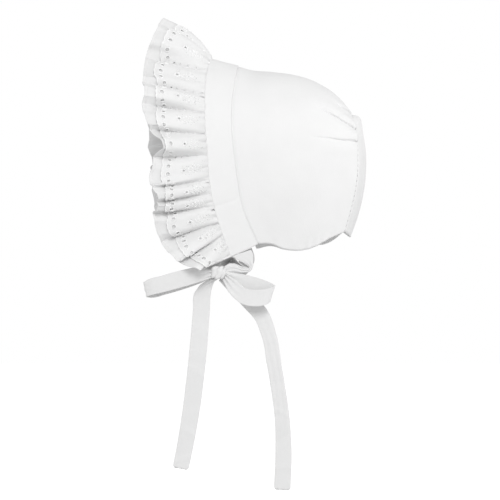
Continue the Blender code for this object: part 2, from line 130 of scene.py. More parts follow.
# %% [markdown]
# ## Lamps
# One broad lamp, a little above the camera, makes the cloth that faces it lighter than the undersides of the folds. A
# weaker one from behind keeps the back panel from going grey. A small lamp or a sun would draw hard shadows, which the
# picture doesn't have.

# %% Key and fill lamps
# Name, place, aim, side in metres and power in watts
LAMPS = [
    ("Key lamp", (0.0, -2.3, 1.00), (0.0, 0.0, -0.1), 1.0, 30.0),
    ("Fill lamp", (2.3, 0.25, 0.35), (0.05, 0.0, -0.1), 1.0, 14.5),
]


def add_lamp(name, place, aim, size, power):
    """A square area lamp at `place` that points at `aim`."""
    data = bpy.data.lights.new(name, "AREA")
    data.size = size
    data.energy = power
    lamp = bpy.data.objects.new(name, data)
    lamp.location = place
    lamp.rotation_euler = (Vector(aim) - Vector(place)).to_track_quat("-Z", "Y").to_euler()
    scene.collection.objects.link(lamp)
    return lamp


for row in LAMPS:
    add_lamp(*row)
print("lamps", len(LAMPS))

# %% [markdown]
# ## Curves through a table
# The forms of the bonnet are given by short tables, one row for each section. Straight lines between the rows would
# show as corners, and Blender's own curve objects give points but not sizes, so a smooth curve through the rows is
# worked out here. It gives the sizes between them, and a few rows make a whole surface.

# %% Table curves and directions
def curve(table, column, at):
    """Cubic curve through one column of a table, read at `at`: each span is blended from its two values and slopes."""
    rows = np.array(table, float)
    x, y = rows[:, 0], rows[:, column]
    slope = np.gradient(y, x)
    at = np.clip(at, x[0], x[-1])
    i = np.clip(np.searchsorted(x, at, side="right") - 1, 0, len(x) - 2)
    step = x[i + 1] - x[i]
    t = (at - x[i]) / step
    start = (2 * t**3 - 3 * t**2 + 1) * y[i] + (t**3 - 2 * t**2 + t) * step * slope[i]
    return start + (3 * t**2 - 2 * t**3) * y[i + 1] + (t**3 - t**2) * step * slope[i + 1]


def unit(vectors):
    """Each vector divided by its own length."""
    return vectors / np.maximum(np.linalg.norm(vectors, axis=-1, keepdims=True), 1e-12)


def grid_normals(points):
    """Cross product of the two grid directions at every point."""
    return unit(np.cross(np.gradient(points, axis=1), np.gradient(points, axis=0)))


def lengths_along(points):
    """Running length along the last but one axis, starting at zero."""
    steps = np.linalg.norm(np.diff(points, axis=-2), axis=-1)
    start = np.zeros(steps.shape[:-1] + (1,))
    return np.concatenate([start, np.cumsum(steps, axis=-1)], axis=-1)


print("half way between 0 and 1, before a fall to 0:", round(float(curve([(0, 0), (1, 1), (2, 0)], 1, 0.5)), 3))

# %% [markdown]
# ## Measures of a grid
# A sheet of cloth is a grid of points. What it measures along its rows and columns is its flat size, and the same
# running lengths make the map that the weave follows, so the threads keep one size all over the bonnet.

# %% Grid measures
def grid_lengths(points):
    """Running lengths along the rows and along the columns at every point of a grid: its map on the flat cloth."""
    return np.stack([lengths_along(points), np.swapaxes(lengths_along(np.swapaxes(points, 0, 1)), 0, 1)], -1)


def flat_size(points):
    """Mean length of the grid's rows and of its columns."""
    rows, columns = lengths_along(points)[:, -1], lengths_along(np.swapaxes(points, 0, 1))[:, -1]
    return float(rows.mean()), float(columns.mean())


def outward_normals(points):
    """Normals of a grid that wraps round its own middle, each turned away from that middle."""
    normals = grid_normals(points)
    return normals * np.sign(np.sum(normals * (points - points.mean(axis=(0, 1))), axis=-1, keepdims=True))


square = np.stack(np.meshgrid([0.0, 1.0, 2.0], [0.0, 1.0], [0.0], indexing="ij"), -1)[:, :, 0]
print("flat size of a 1 by 2 sheet:", flat_size(square))

# %% [markdown]
# ## From arrays to cloth
# The points of a grid go to the mesh in one call, and its flat map becomes the UV map. The wall could be modelled as
# two surfaces, but Solidify gives the same thickness everywhere with one number.

# %% Mesh makers
COLLECTION = bpy.data.collections.new("Baby bonnet")
scene.collection.children.link(COLLECTION)


def closed_faces(faces):
    """Faces as one list: where two corners in a row are the same point, as at a pole, one of them is left out."""
    same = faces == np.roll(faces, -1, axis=1)
    whole = faces[~same.any(axis=1)].tolist()
    for corner in range(faces.shape[1]):
        whole += np.delete(faces[same[:, corner]], corner, axis=1).tolist()
    return whole


def mesh_object(name, verts, faces, uv, material):
    """A smooth mesh from arrays of points and faces, with one UV for each point."""
    mesh = bpy.data.meshes.new(name)
    mesh.from_pydata(np.asarray(verts).tolist(), [], closed_faces(np.asarray(faces)))
    layer = mesh.uv_layers.new(name="cloth")
    corners = np.zeros(len(mesh.loops), dtype=np.int64)
    mesh.loops.foreach_get("vertex_index", corners)
    layer.data.foreach_set("uv", np.asarray(uv, dtype=np.float32)[corners].ravel())
    mesh.shade_smooth()
    mesh.materials.append(material)
    item = bpy.data.objects.new(name, mesh)
    COLLECTION.objects.link(item)
    return item


def grid_faces(rows, columns, close=False):
    """Quads between neighbouring rows and columns; `close` joins the last column to the first."""
    i = np.arange(rows - 1)[:, None]
    j = np.arange(columns if close else columns - 1)[None, :]
    k = (j + 1) % columns
    return np.stack([i * columns + j, (i + 1) * columns + j, (i + 1) * columns + k, i * columns + k], -1).reshape(-1, 4)


def thicken(item, thickness):
    """Cloth thickness, half to each side of the surface."""
    solid = item.modifiers.new("Cloth thickness", "SOLIDIFY")
    solid.thickness = thickness
    solid.offset = 0.0
    return item


def cloth_sheet(name, points, uv, material, thickness):
    """A grid of points made into a sheet of cloth."""
    rows, columns = points.shape[:2]
    faces = grid_faces(rows, columns)
    return thicken(mesh_object(name, points.reshape(-1, 3), faces, uv.reshape(-1, 2), material), thickness)


def place_piece(item, slot, *nodes):
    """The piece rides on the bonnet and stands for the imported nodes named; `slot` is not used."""
    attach(item, "root")
    if nodes:
        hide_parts(*nodes)
    return item


print("a grid of 3 by 4 points has", len(grid_faces(3, 4)), "faces, closed", len(grid_faces(3, 4, close=True)))

# %% [markdown]
# ## Cotton
# All the cloth is one plain weave of white cotton. A picture of cloth could be laid over it, but nodes keep the scale
# and need no file. The threads cross at right angles, so the height is the product of two waves, one for each
# direction of the flat cloth, and slow noise makes some threads thicker and the tone a little uneven. The weave is
# one node group, used by every cotton material.

# %% Weave node group
THREADS_PER_METRE = 2200.0
SLUB_SCALES = ((900.0, 90.0, 1.0), (90.0, 900.0, 1.0))
MOTTLE_SCALE = 55.0


def add_node(tree, kind, **values):
    """A node of the kind, with its plain properties set."""
    node = tree.nodes.new(kind)
    for key, value in values.items():
        setattr(node, key, value)
    return node


def math_node(tree, operation, a, b):
    """A Math node of two inputs, each a socket or a number."""
    node = add_node(tree, "ShaderNodeMath", operation=operation)
    for socket, value in zip(node.inputs, (a, b)):
        if isinstance(value, (int, float)):
            socket.default_value = value
        else:
            tree.links.new(value, socket)
    return node.outputs[0]


def weave_group():
    """Height and tone of a plain weave: crossed waves of the thread pitch, uneven threads and slow mottling."""
    group = bpy.data.node_groups.new("Plain weave", "ShaderNodeTree")
    face = group.interface
    face.new_socket(name="Vector", in_out="INPUT", socket_type="NodeSocketVector")
    pitch = face.new_socket(name="Threads per metre", in_out="INPUT", socket_type="NodeSocketFloat")
    pitch.default_value = THREADS_PER_METRE
    face.new_socket(name="Height", in_out="OUTPUT", socket_type="NodeSocketFloat")
    face.new_socket(name="Tone", in_out="OUTPUT", socket_type="NodeSocketFloat")
    start = group.nodes.new("NodeGroupInput")
    finish = group.nodes.new("NodeGroupOutput")
    split = group.nodes.new("ShaderNodeSeparateXYZ")
    group.links.new(start.outputs["Vector"], split.inputs[0])
    waves = []
    for axis in (0, 1):
        threads = math_node(group, "MULTIPLY", split.outputs[axis], start.outputs[1])
        waves.append(math_node(group, "SINE", math_node(group, "MULTIPLY", threads, math.pi), 0.0))
    crossed = math_node(group, "MULTIPLY", waves[0], waves[1])
    slubs = []
    for scale in SLUB_SCALES:
        mapping = group.nodes.new("ShaderNodeMapping")
        mapping.inputs["Scale"].default_value = scale
        group.links.new(start.outputs["Vector"], mapping.inputs["Vector"])
        noise = group.nodes.new("ShaderNodeTexNoise")
        noise.inputs["Scale"].default_value = 1.0
        noise.inputs["Detail"].default_value = 2.0
        group.links.new(mapping.outputs[0], noise.inputs["Vector"])
        slubs.append(noise.outputs[0])
    uneven = math_node(group, "ADD", slubs[0], slubs[1])
    threads = math_node(group, "MULTIPLY", crossed, 0.35)
    height = math_node(group, "ADD", threads, math_node(group, "MULTIPLY", uneven, 0.8))
    group.links.new(height, finish.inputs["Height"])
    mottle = group.nodes.new("ShaderNodeTexNoise")
    mottle.inputs["Scale"].default_value = MOTTLE_SCALE
    mottle.inputs["Detail"].default_value = 3.0
    group.links.new(start.outputs["Vector"], mottle.inputs["Vector"])
    patches = math_node(group, "MULTIPLY", mottle.outputs[0], 0.6)
    tone = math_node(group, "ADD", patches, math_node(group, "MULTIPLY", uneven, 0.2))
    group.links.new(tone, finish.inputs["Tone"])
    return group


WEAVE = weave_group()
print("weave group", len(WEAVE.nodes), "nodes")

# %% [markdown]
# ## Cotton as a material
# The tone from the weave moves the colour a few hundredths up or down, as the eye sees it on real cotton, and the
# height goes through a Bump node, because real threads would be far too many for a mesh. Sheen stands for the loose
# fibres that light up at a glancing angle.

# %% Cotton material
CLOTH_BUMP = 0.00006
THREAD_BUMP = 0.00003
SATIN_THREADS = 1500.0


def cotton(name, light, dark, bump, threads=THREADS_PER_METRE, roughness=0.92, sheen=0.12):
    """A cotton material: grey between `dark` and `light` by the weave's tone, bump in metres from its height."""
    material = bpy.data.materials.new(name)
    material.use_nodes = True
    tree = material.node_tree
    shader = tree.nodes["Principled BSDF"]
    shader.inputs["Roughness"].default_value = roughness
    shader.inputs["Sheen Weight"].default_value = sheen
    shader.inputs["Sheen Roughness"].default_value = 0.5
    shader.inputs["Specular IOR Level"].default_value = 0.2
    uv = add_node(tree, "ShaderNodeUVMap", uv_map="cloth")
    weave = add_node(tree, "ShaderNodeGroup", node_tree=WEAVE)
    weave.inputs["Threads per metre"].default_value = threads
    tree.links.new(uv.outputs[0], weave.inputs["Vector"])
    ramp = add_node(tree, "ShaderNodeMix", data_type="RGBA")
    ramp.inputs["A"].default_value = (dark, dark, dark, 1.0)
    ramp.inputs["B"].default_value = (light, light, light, 1.0)
    tree.links.new(weave.outputs["Tone"], ramp.inputs["Factor"])
    tree.links.new(ramp.outputs["Result"], shader.inputs["Base Color"])
    relief = add_node(tree, "ShaderNodeBump")
    relief.inputs["Strength"].default_value = 1.0
    relief.inputs["Distance"].default_value = bump
    tree.links.new(weave.outputs["Height"], relief.inputs["Height"])
    tree.links.new(relief.outputs[0], shader.inputs["Normal"])
    return material


print("thread pitch mm", round(1000 / THREADS_PER_METRE, 2), "satin", round(1000 / SATIN_THREADS, 2))

# %% [markdown]
# ## Painted shade of the needle marks
# Two marks are too fine for the mesh: the needle pricks between the stitches of the embroidery, and the dents beside
# the back seam's stitches. The shade inside them is painted: each is a mask that mixes the plain cotton towards a dark
# grey, and each mask is kept to its place by a value that the mesh carries at its points.

# %% Painted shade of needle pricks and seam dents
PRICK_SCALE = 430.0
PRICK_RAMP = (("From Min", 0.12), ("From Max", 0.34), ("To Min", 1.0), ("To Max", 0.0))
DENT_SHARE = 0.1


def paint_over(material, amount, tone):
    """The material's colour mixed towards the grey `tone` by the mask `amount`."""
    tree = material.node_tree
    shader = tree.nodes["Principled BSDF"]
    colour = shader.inputs["Base Color"].links[0].from_socket
    mix = add_node(tree, "ShaderNodeMix", data_type="RGBA")
    mix.inputs["B"].default_value = (tone, tone, tone, 1.0)
    tree.links.new(amount, mix.inputs["Factor"])
    tree.links.new(colour, mix.inputs["A"])
    tree.links.new(mix.outputs["Result"], shader.inputs["Base Color"])


def paint_prick_shade(material, tone):
    """Painted shade of the needle pricks: cells on the flat cloth darkened to `tone`, kept to the needle zone."""
    tree = material.node_tree
    uv = add_node(tree, "ShaderNodeUVMap", uv_map="cloth")
    cells = add_node(tree, "ShaderNodeTexVoronoi")
    cells.inputs["Scale"].default_value = PRICK_SCALE
    tree.links.new(uv.outputs[0], cells.inputs["Vector"])
    prick = add_node(tree, "ShaderNodeMapRange")
    for name, value in PRICK_RAMP:
        prick.inputs[name].default_value = value
    tree.links.new(cells.outputs["Distance"], prick.inputs["Value"])
    zone = add_node(tree, "ShaderNodeAttribute", attribute_name="needle_zone")
    paint_over(material, math_node(tree, "MULTIPLY", prick.outputs["Result"], zone.outputs["Fac"]), tone)


def paint_dent_shade(material, pitch, reach, tone):
    """Painted shade of the dents along a seam: dashes of `tone` where a sine of the running length is above a small
    share, within `reach`.
    """
    tree = material.node_tree
    uv = add_node(tree, "ShaderNodeUVMap", uv_map="cloth")
    split = add_node(tree, "ShaderNodeSeparateXYZ")
    tree.links.new(uv.outputs[0], split.inputs[0])
    wave = math_node(tree, "SINE", math_node(tree, "MULTIPLY", split.outputs[0], 2 * math.pi / pitch), 0.0)
    on = math_node(tree, "GREATER_THAN", wave, DENT_SHARE)
    distance = add_node(tree, "ShaderNodeAttribute", attribute_name="from_back_seam")
    close = math_node(tree, "LESS_THAN", distance.outputs["Fac"], reach)
    paint_over(material, math_node(tree, "MULTIPLY", on, close), tone)


print("pricks are about", round(1000 / PRICK_SCALE, 1), "mm apart")

# %% [markdown]
# ## The finishes
# The crown and the band are the lightest. The ruffles and the ties are the same white cotton a step darker, which is
# painted shade for the less light that reaches them, and the satin stitch is the whitest and smoothest thread.

# %% Cotton finishes
STITCH_PITCH = 0.0046
DENT_REACH = 0.0011
# Grey of the painted shade in the dents beside the back seam
DENT_SHADE_TONE = 0.46
# Grey of the painted shade in the needle pricks
PRICK_SHADE_TONE = 0.55

CROWN_COTTON = cotton("Crown cotton", 0.84, 0.79, CLOTH_BUMP)
# Crown cotton with the dents' shade painted along the back seam
DENT_SHADE_COTTON = cotton("Crown cotton with painted dent shade", 0.84, 0.79, CLOTH_BUMP)
paint_dent_shade(DENT_SHADE_COTTON, STITCH_PITCH, DENT_REACH, DENT_SHADE_TONE)
# The same white cotton a step darker: painted shade on the ruffles and the ties
EYELET_COTTON_SHADED = cotton("Eyelet cotton", 0.81, 0.75, CLOTH_BUMP)
RUFFLE_COTTON_SHADED = cotton("Ruffle cotton", 0.81, 0.75, CLOTH_BUMP)
TIE_COTTON_SHADED = cotton("Tie cotton", 0.78, 0.73, CLOTH_BUMP)
EMBROIDERY = cotton("Embroidery thread", 0.90, 0.86, THREAD_BUMP, SATIN_THREADS, 0.6, 0.25)
SEWING = cotton("Sewing thread", 0.80, 0.72, THREAD_BUMP, SATIN_THREADS, 0.6, 0.2)
# Painted shade of the needle pricks in the sprays
paint_prick_shade(EYELET_COTTON_SHADED, PRICK_SHADE_TONE)
print("finishes", [item.name for item in (CROWN_COTTON, EYELET_COTTON_SHADED, RUFFLE_COTTON_SHADED, TIE_COTTON_SHADED, EMBROIDERY, SEWING)])

# %% [markdown]
# ## Seams over the top
# The crown and the band hang on seams that run from one lower corner over the top to the other. A sculpted shell would
# have no seams to hang the other pieces on, so each seam is a line of its own: a quarter ellipse above and a gently
# drawn-in side below, bowed forward or back in the side view, and read at even steps of its own length.

# %% Sizes and tables of the crown and band
CROWN_DEPTH = 0.1025
CROWN_FRONT = 0.0423
CROWN_RISE = 0.0076
HEAD_SEAM_HEIGHT = 0.1610
HEAD_HALF_WIDTH = 0.0600
NECK_HALF_WIDTH = 0.0460
BAND_WIDTH = 0.0246
BAND_RISE = 0.0064
BAND_DROP = 0.0115

# Forward bow of the band's seams: share of the drop, front seam, rear seam
SEAM_BOW = [
    (0.00, 0.000, 0.000),
    (0.10, 0.033, 0.030),
    (0.22, 0.053, 0.058),
    (0.35, 0.066, 0.074),
    (0.50, 0.070, 0.077),
    (0.65, 0.073, 0.073),
    (0.78, 0.058, 0.066),
    (0.90, 0.030, 0.035),
    (1.00, 0.000, 0.000),
]

# The crown: share of its depth, fall of the top, setback and rise of the neck edge, bow, half width, neck, arch
CROWN = [
    (0.00, 0.000, 0.112, 0.000, -0.077, 1.00, 1.00, 0.42),
    (0.11, 0.021, 0.099, 0.002, -0.066, 1.02, 1.00, 0.42),
    (0.30, 0.031, 0.066, -0.028, -0.043, 1.05, 1.01, 0.42),
    (0.50, 0.052, 0.027, -0.036, -0.019, 1.05, 1.00, 0.42),
    (0.70, 0.095, -0.012, -0.012, 0.006, 1.00, 0.95, 0.42),
    (0.86, 0.157, -0.034, 0.034, 0.028, 0.88, 0.88, 0.41),
    (0.95, 0.218, -0.038, 0.058, 0.042, 0.78, 0.82, 0.40),
    (1.00, 0.272, -0.041, 0.070, 0.053, 0.70, 0.77, 0.40),
]

print("crown", CROWN_DEPTH, "m deep,", 2 * HEAD_HALF_WIDTH, "m wide")

# %% [markdown]
# ## Seams as functions
# One function gives any seam over the top from its highest point, its lower end, its widths and its bow. The crown's
# lines and the band's front seam are that function with their own sizes, so the pieces meet exactly.

# %% Seam functions
RAIL_STEPS = 801
ARCH_SHARE = 0.54
SIDE_SHARE = 0.46
CREST_BOW = 0.077
BOW_RANGE = 0.130
BACK_BOW = 0.053


def rail(top, neck, half, neck_half, arch, bow, u):
    """A seam: quarter ellipse of drop `arch`, then a cosine draw-in, at even lengths; u is -1 near and 1 far."""
    g = np.linspace(0.0, 1.0, RAIL_STEPS)
    turn = np.clip(g / ARCH_SHARE, 0.0, 1.0) * math.pi / 2
    side = np.clip((g - ARCH_SHARE) / SIDE_SHARE, 0.0, 1.0)
    drop = arch * (1 - np.cos(turn)) + (1 - arch) * side
    y = np.where(g < ARCH_SHARE, half * np.sin(turn), neck_half + (half - neck_half) * np.cos(side * math.pi / 2))
    x = top[0] + (neck[0] - top[0]) * drop + bow(drop)
    z = top[1] + (neck[1] - top[1]) * drop
    length = lengths_along(np.stack([x, y, z], axis=-1))
    share = length / length[-1]
    part = np.abs(u)
    return np.stack([np.interp(part, share, x), np.sign(u) * np.interp(part, share, y), np.interp(part, share, z)], -1)


def crown_rail(s, u):
    """The crown's line at the share s of its depth; its bow goes from the front seam's to a sine at the back."""
    fall, setback, rise, bow, half, neck_half, arch = (float(curve(CROWN, i, np.array(s))) for i in range(1, 8))
    top = (-CROWN_FRONT + CROWN_DEPTH * s, CROWN_RISE - HEAD_SEAM_HEIGHT * fall)
    neck = (top[0] + HEAD_SEAM_HEIGHT * setback, CROWN_RISE - HEAD_SEAM_HEIGHT * (1 - rise))
    share = (bow + CREST_BOW) / BOW_RANGE

    def bow_of(drop):
        front = -curve(SEAM_BOW, 2, drop) * HEAD_SEAM_HEIGHT
        return front * (1 - share) + np.sin(math.pi * drop) * HEAD_SEAM_HEIGHT * BACK_BOW * share

    return rail(top, neck, HEAD_HALF_WIDTH * half, NECK_HALF_WIDTH * neck_half, arch, bow_of, u)


def band_rail(u):
    """The band's front seam: forward of the crown's first line by the band's width."""
    top = (-CROWN_FRONT - BAND_WIDTH * 1.035, CROWN_RISE + BAND_RISE)
    neck = (-CROWN_FRONT + HEAD_SEAM_HEIGHT * 0.112 - BAND_WIDTH, CROWN_RISE - HEAD_SEAM_HEIGHT - BAND_DROP)

    def bow_of(drop):
        return -curve(SEAM_BOW, 1, drop) * HEAD_SEAM_HEIGHT

    return rail(top, neck, HEAD_HALF_WIDTH * 0.985, NECK_HALF_WIDTH * 0.99, 0.42, bow_of, u)


print("front seam", round(float(lengths_along(band_rail(np.linspace(-1, 1, 201)))[-1]), 3), "m long")

# %% [markdown]
# ## Pleats
# The crown is eased into the back seam with three pleats a side. Each pleat is a soft ridge that hangs over a narrow
# crease, and it deepens towards the seam. They could be sculpted, but a height worked out from the distance to a
# crease line keeps its sharpness on any grid, and a table holds where each crease runs.

# %% Pleat tables and relief
# Pleats: length as a share of the crown's depth, fold depth and width in metres
PLEATS = [
    (0.17, 0.0020, 0.0030),
    (0.31, 0.0036, 0.0038),
    (0.37, 0.0022, 0.0040),
]
# Where the three creases run: share of the crown's depth, then the place of each on the half seam
PLEAT_LINES = [
    (0.60, 0.200, 0.276, 0.454),
    (0.70, 0.200, 0.286, 0.453),
    (0.78, 0.199, 0.297, 0.449),
    (0.86, 0.196, 0.302, 0.440),
    (0.91, 0.183, 0.304, 0.426),
    (0.96, 0.140, 0.288, 0.398),
    (1.00, 0.095, 0.262, 0.364),
]


RIDGE_STEP = 0.00022
CREASE_WIDTH = 0.0008


def pleat_relief(u, s, half_seam):
    """Height and sideways slide of the pleats: a soft ridge that hangs over a narrow crease, growing to the seam."""
    relief = np.zeros(np.broadcast(u, s).shape)
    slide = np.zeros_like(relief)
    for number, (length, depth, width) in enumerate(PLEATS, 1):
        near = np.clip((s - (1 - length)) / length, 0.0, 1.0)
        across = (np.abs(u) - curve(PLEAT_LINES, number, s)) * half_seam
        ridge = np.exp(-((across + width * 0.9) / (width * 1.3)) ** 2)
        step = 1 / (1 + np.exp((across - 0.0002) / RIDGE_STEP))
        crease = np.exp(-((across - CREASE_WIDTH) / CREASE_WIDTH) ** 2)
        below = np.exp(-((across - width * 1.9) / (width * 1.2)) ** 2)
        relief += (0.7 * ridge * step - 0.75 * crease + 0.35 * below * (1 - step)) * depth * near**0.9
        slide += np.exp(-((across + 0.0004) / 0.0009) ** 2) * depth * 0.42 * near
    return relief, slide


print("pleats", len(PLEATS), "a side, creases given at", len(PLEAT_LINES), "depths")

# %% [markdown]
# ## Crown
# The crown is the large panel from the band to the back seam. Slow waves of a millimetre keep it from looking moulded,
# and the cloth turns in where it is sewn. The two ends of its neck edge don't hang alike: the far one is a little
# lower.

# %% Crown surface
CROWN_CLOTH = 0.0009
LARGE_WAVES = 0.0016
SMALL_WAVES = 0.0010
NECK_RIPPLE = 0.0005
BAND_TURN_IN = 0.0011
BACK_TURN_IN = 0.0010


def slow_waves(u, s, seed, amount):
    """Soft unevenness: the mean of six plane waves of seeded random direction and phase, times `amount`."""
    rng = np.random.default_rng(seed)
    total = np.zeros(np.broadcast(u, s).shape)
    for _ in range(6):
        a, b = rng.uniform(3, 9), rng.uniform(2, 6)
        total += np.sin(a * u + b * s * rng.choice([-1, 1]) + rng.uniform(0, 6.28)) / 6
    return total * amount


def far_drop(s):
    """How much lower the far neck edge hangs: two soft waves of some millimetres, near the band and near the back."""
    front = 0.0042 * np.clip(1 - s / 0.24, 0.0, 1.0) ** 1.1
    rear = 0.0045 * np.sin(math.pi * np.clip((s - 0.72) / 0.30, 0.0, 1.0)) ** 1.3
    return front + rear


def crown_points():
    """Rails from the band to the back seam, moved along their normal by pleats and waves; also the plain rails."""
    u = np.concatenate([np.linspace(0.0, 0.04, 5), np.arange(0.043, 0.50, 0.0024), np.linspace(0.505, 1.0, 50)])
    u = np.concatenate([-u[:0:-1], u])
    s = np.concatenate([np.linspace(-0.012, 0.02, 5), np.linspace(0.04, 0.56, 20), np.linspace(0.575, 0.985, 44)])
    s = np.concatenate([s, [0.989, 0.992, 0.995, 0.9975, 1.0]])
    grid = np.array([crown_rail(value, u) for value in s])
    half_seam = lengths_along(grid[-1:])[0, -1] / 2
    uu, ss = np.meshgrid(u, s)
    grid[..., 2] -= far_drop(ss) * np.clip((uu - 0.55) / 0.45, 0.0, 1.0) ** 2
    move, slide = pleat_relief(uu, ss, half_seam)
    free = np.sin(math.pi * np.clip(ss, 0, 1))
    move += slow_waves(uu, ss, 3, LARGE_WAVES) * free**0.5
    move += slow_waves(uu * 2.6, ss * 2.2, 5, SMALL_WAVES) * free**0.5
    neck = np.clip((np.abs(uu) - 0.93) / 0.07, 0.0, 1.0)
    move += neck**2 * NECK_RIPPLE * np.sin(ss * 46 + 3 * np.sin(ss * 9)) * free
    move -= BAND_TURN_IN * np.clip((0.022 - ss) / 0.03, 0.0, 1.0)
    move -= BACK_TURN_IN * np.clip((ss - 0.988) / 0.012, 0.0, 1.0) ** 2
    along = unit(np.gradient(grid, axis=1)) * np.sign(uu)[..., None]
    return grid + outward_normals(grid) * move[..., None] + along * slide[..., None], grid


crown_grid, crown_base = crown_points()
crown_uv = grid_lengths(crown_base)
crown = cloth_sheet("crown_cloth", crown_grid, crown_uv, DENT_SHADE_COTTON, CROWN_CLOTH)
# Distance from the back seam, which keeps the painted dent shade to the seam
from_seam = crown.data.attributes.new("from_back_seam", "FLOAT", "POINT")
from_seam.data.foreach_set("value", (crown_uv[-1:, :, 1] - crown_uv[..., 1]).astype(np.float32).ravel())
place_piece(crown, "crown_cotton", "crown")
print("crown cloth", [round(v, 3) for v in flat_size(crown_base)])

# %% [markdown]
# ## Back panel
# The horseshoe panel closes the back. It could be cut from a sphere, but its edge has to follow the back seam. So
# every row of its grid spans that seam from one side to the other and bulges by one less the square of the place
# across, which leaves the panel flush at the seam and full in the middle.

# %% Back panel surface
BACK_BULGE = 0.0077
BACK_NECK_DIP = 0.0050
BACK_WAVES = 0.0008
PANEL_TURN_IN = 0.0009


def back_points():
    """Rows across the back seam, bulged backwards by one minus the square of the place across."""
    g = np.linspace(0.0, 1.0, 101) ** 1.15
    g[0] = 0.0008
    v = np.concatenate([[-1.0, -0.995, -0.99, -0.984], np.linspace(-0.977, 0.977, 93), [0.984, 0.99, 0.995, 1.0]])
    near = crown_rail(1.0, -g)
    centre = np.array([near[:, 0].mean(), 0.0, (near[0, 2] + near[-1, 2]) / 2])
    edge = near + unit(centre - near) * 0.0005
    edge[:, 1] = np.minimum(edge[:, 1], -0.00005)
    edge[-1, 2] = near[-1, 2]
    bulge = BACK_BULGE * np.clip(g / 0.12, 0.0, 1.0) ** 0.5 * (1 - 0.25 * g**6)
    round_off = 1 - v**2
    x = edge[:, 0][:, None] + bulge[:, None] * round_off
    y = -edge[:, 1][:, None] * v
    z = edge[:, 2][:, None] - BACK_NECK_DIP * (g**3)[:, None] * round_off
    waves = slow_waves(v[None, :] * 2, g[:, None] * 3, 8, BACK_WAVES) * round_off
    from_seam = (1 - np.abs(v))[None] * -edge[:, 1][:, None]
    turn_in = PANEL_TURN_IN * np.clip(1 - from_seam / 0.0013, 0.0, 1.0) ** 2
    return np.stack([x + waves - turn_in, y, z], axis=-1)


back_grid = back_points()
back_uv = np.stack([back_grid[..., 1], back_grid[..., 2]], -1)
back = cloth_sheet("back_panel_cloth", back_grid, back_uv, CROWN_COTTON, CROWN_CLOTH)
place_piece(back, "crown_cotton", "back_panel")

# %% [markdown]
# ## Band round the face
# The band is double cloth, so it stands a little proud of the crown. The ruffles are gathered into its front seam and
# pull it into small dimples there. It is straight cloth bent round the face, so straight lines between its two seams
# give it its form, and the dimples are added along the normal.

# %% Band surface
BAND_CLOTH = 0.0020
BAND_RISE_OFF = 0.0004
BAND_WAVES = 0.0005
DIMPLES = (0.00022, 0.00016)
CROSS_CREASE = 0.0005


def band_points():
    """Straight lines between the band's seams, raised between them, with dimples in front and a cross crease a side."""
    u = np.linspace(-1.0, 1.0, 421)
    v = np.linspace(0.0, 1.0, 25)
    front, rear = band_rail(u), crown_rail(0.0, u)
    grid = front[None] + (rear - front)[None] * v[:, None, None]
    dimples = np.sin(u * 118 + 2.5 * np.sin(u * 13)) * DIMPLES[0] + np.sin(u * 61 + 1.0) * DIMPLES[1]
    low = np.exp(-(((np.abs(u) - 0.775) / 0.008) ** 2)) * CROSS_CREASE
    move = dimples[None] * np.exp(-v[:, None] / 0.16) + slow_waves(u[None], v[:, None], 21, BAND_WAVES)
    move = move + BAND_RISE_OFF * np.sin(math.pi * v[:, None]) - low[None] * (1 - v[:, None]) ** 0.5
    return grid + outward_normals(grid) * move[..., None]


band_grid = band_points()
band = cloth_sheet("front_band_cloth", band_grid, grid_lengths(band_grid), CROWN_COTTON, BAND_CLOTH)
place_piece(band, "crown_cotton", "front_band")
print("band cloth", [round(v, 3) for v in flat_size(band_grid)])

# %% [markdown]
# ## How the ruffles stand
# Both ruffles are gathered into the band's front seam and flare from it. A cloth simulation would gather them too,
# but it would choose the places of the folds, so they are set here. A table gives the outward lean, the fan towards
# the neck and the width along the half seam. Between two gathers the cloth rises into a lobe.

# %% Ruffle tables
EYELET_RUFFLE_WIDTH = 0.0480
PLAIN_RUFFLE_WIDTH = 0.0570
SCALLOP_CLOTH = 0.0310
SCALLOP_DEPTH = 0.0080

# Share of the half seam, outward lean near and far, fan near and far in degrees, width share of the eyelet ruffle
# and of the near plain ruffle
RUFFLE_STAND = [
    (0.000, 48, 48, 0, 0, 0.80, 1.00),
    (0.050, 43, 44, 0, 0, 1.00, 1.00),
    (0.110, 29, 39, 0, 3, 1.00, 1.00),
    (0.165, 15, 35, -3, 5, 1.00, 1.00),
    (0.220, 8, 29, -5, 6, 1.00, 1.00),
    (0.295, 16, 22, -7, 5, 1.00, 1.00),
    (0.350, 20, 19, -6, 4, 1.00, 1.00),
    (0.400, 17, 17, -4, 4, 1.00, 1.00),
    (0.470, 26, 15, -7, 4, 0.99, 0.92),
    (0.520, 33, 15, -8, 4, 0.98, 0.84),
    (0.600, 19, 15, 5, 3, 0.98, 0.99),
    (0.660, 32, 15, 0, 1, 0.98, 0.98),
    (0.720, 28, 15, -4, 0, 0.98, 0.91),
    (0.775, 17, 18, -8, 0, 0.98, 0.98),
    (0.815, 10, 20, -6, 1, 0.98, 0.99),
    (0.860, 18, 22, 4, 1, 0.92, 0.93),
    (0.940, 38, 30, 4, 0, 0.76, 0.76),
    (1.000, 42, 38, -5, -5, 0.62, 0.62),
]
LOBE_ENDS = [0.050, 0.165, 0.295, 0.375, 0.470, 0.555, 0.660, 0.720, 0.775, 0.845, 0.905, 1.000]
LOBES = np.array([-end for end in reversed(LOBE_ENDS)] + LOBE_ENDS)
# How deeply the cloth is tucked where two lobes meet, for the lobe ends above
TUCKS = [0.3, 0.8, 0.8, 1.3, 1.0, 1.0, 1.0, 1.4, 1.0, 1.4, 1.2, 0.0]
LOBE_TUCKS = np.array(TUCKS[::-1] + TUCKS)
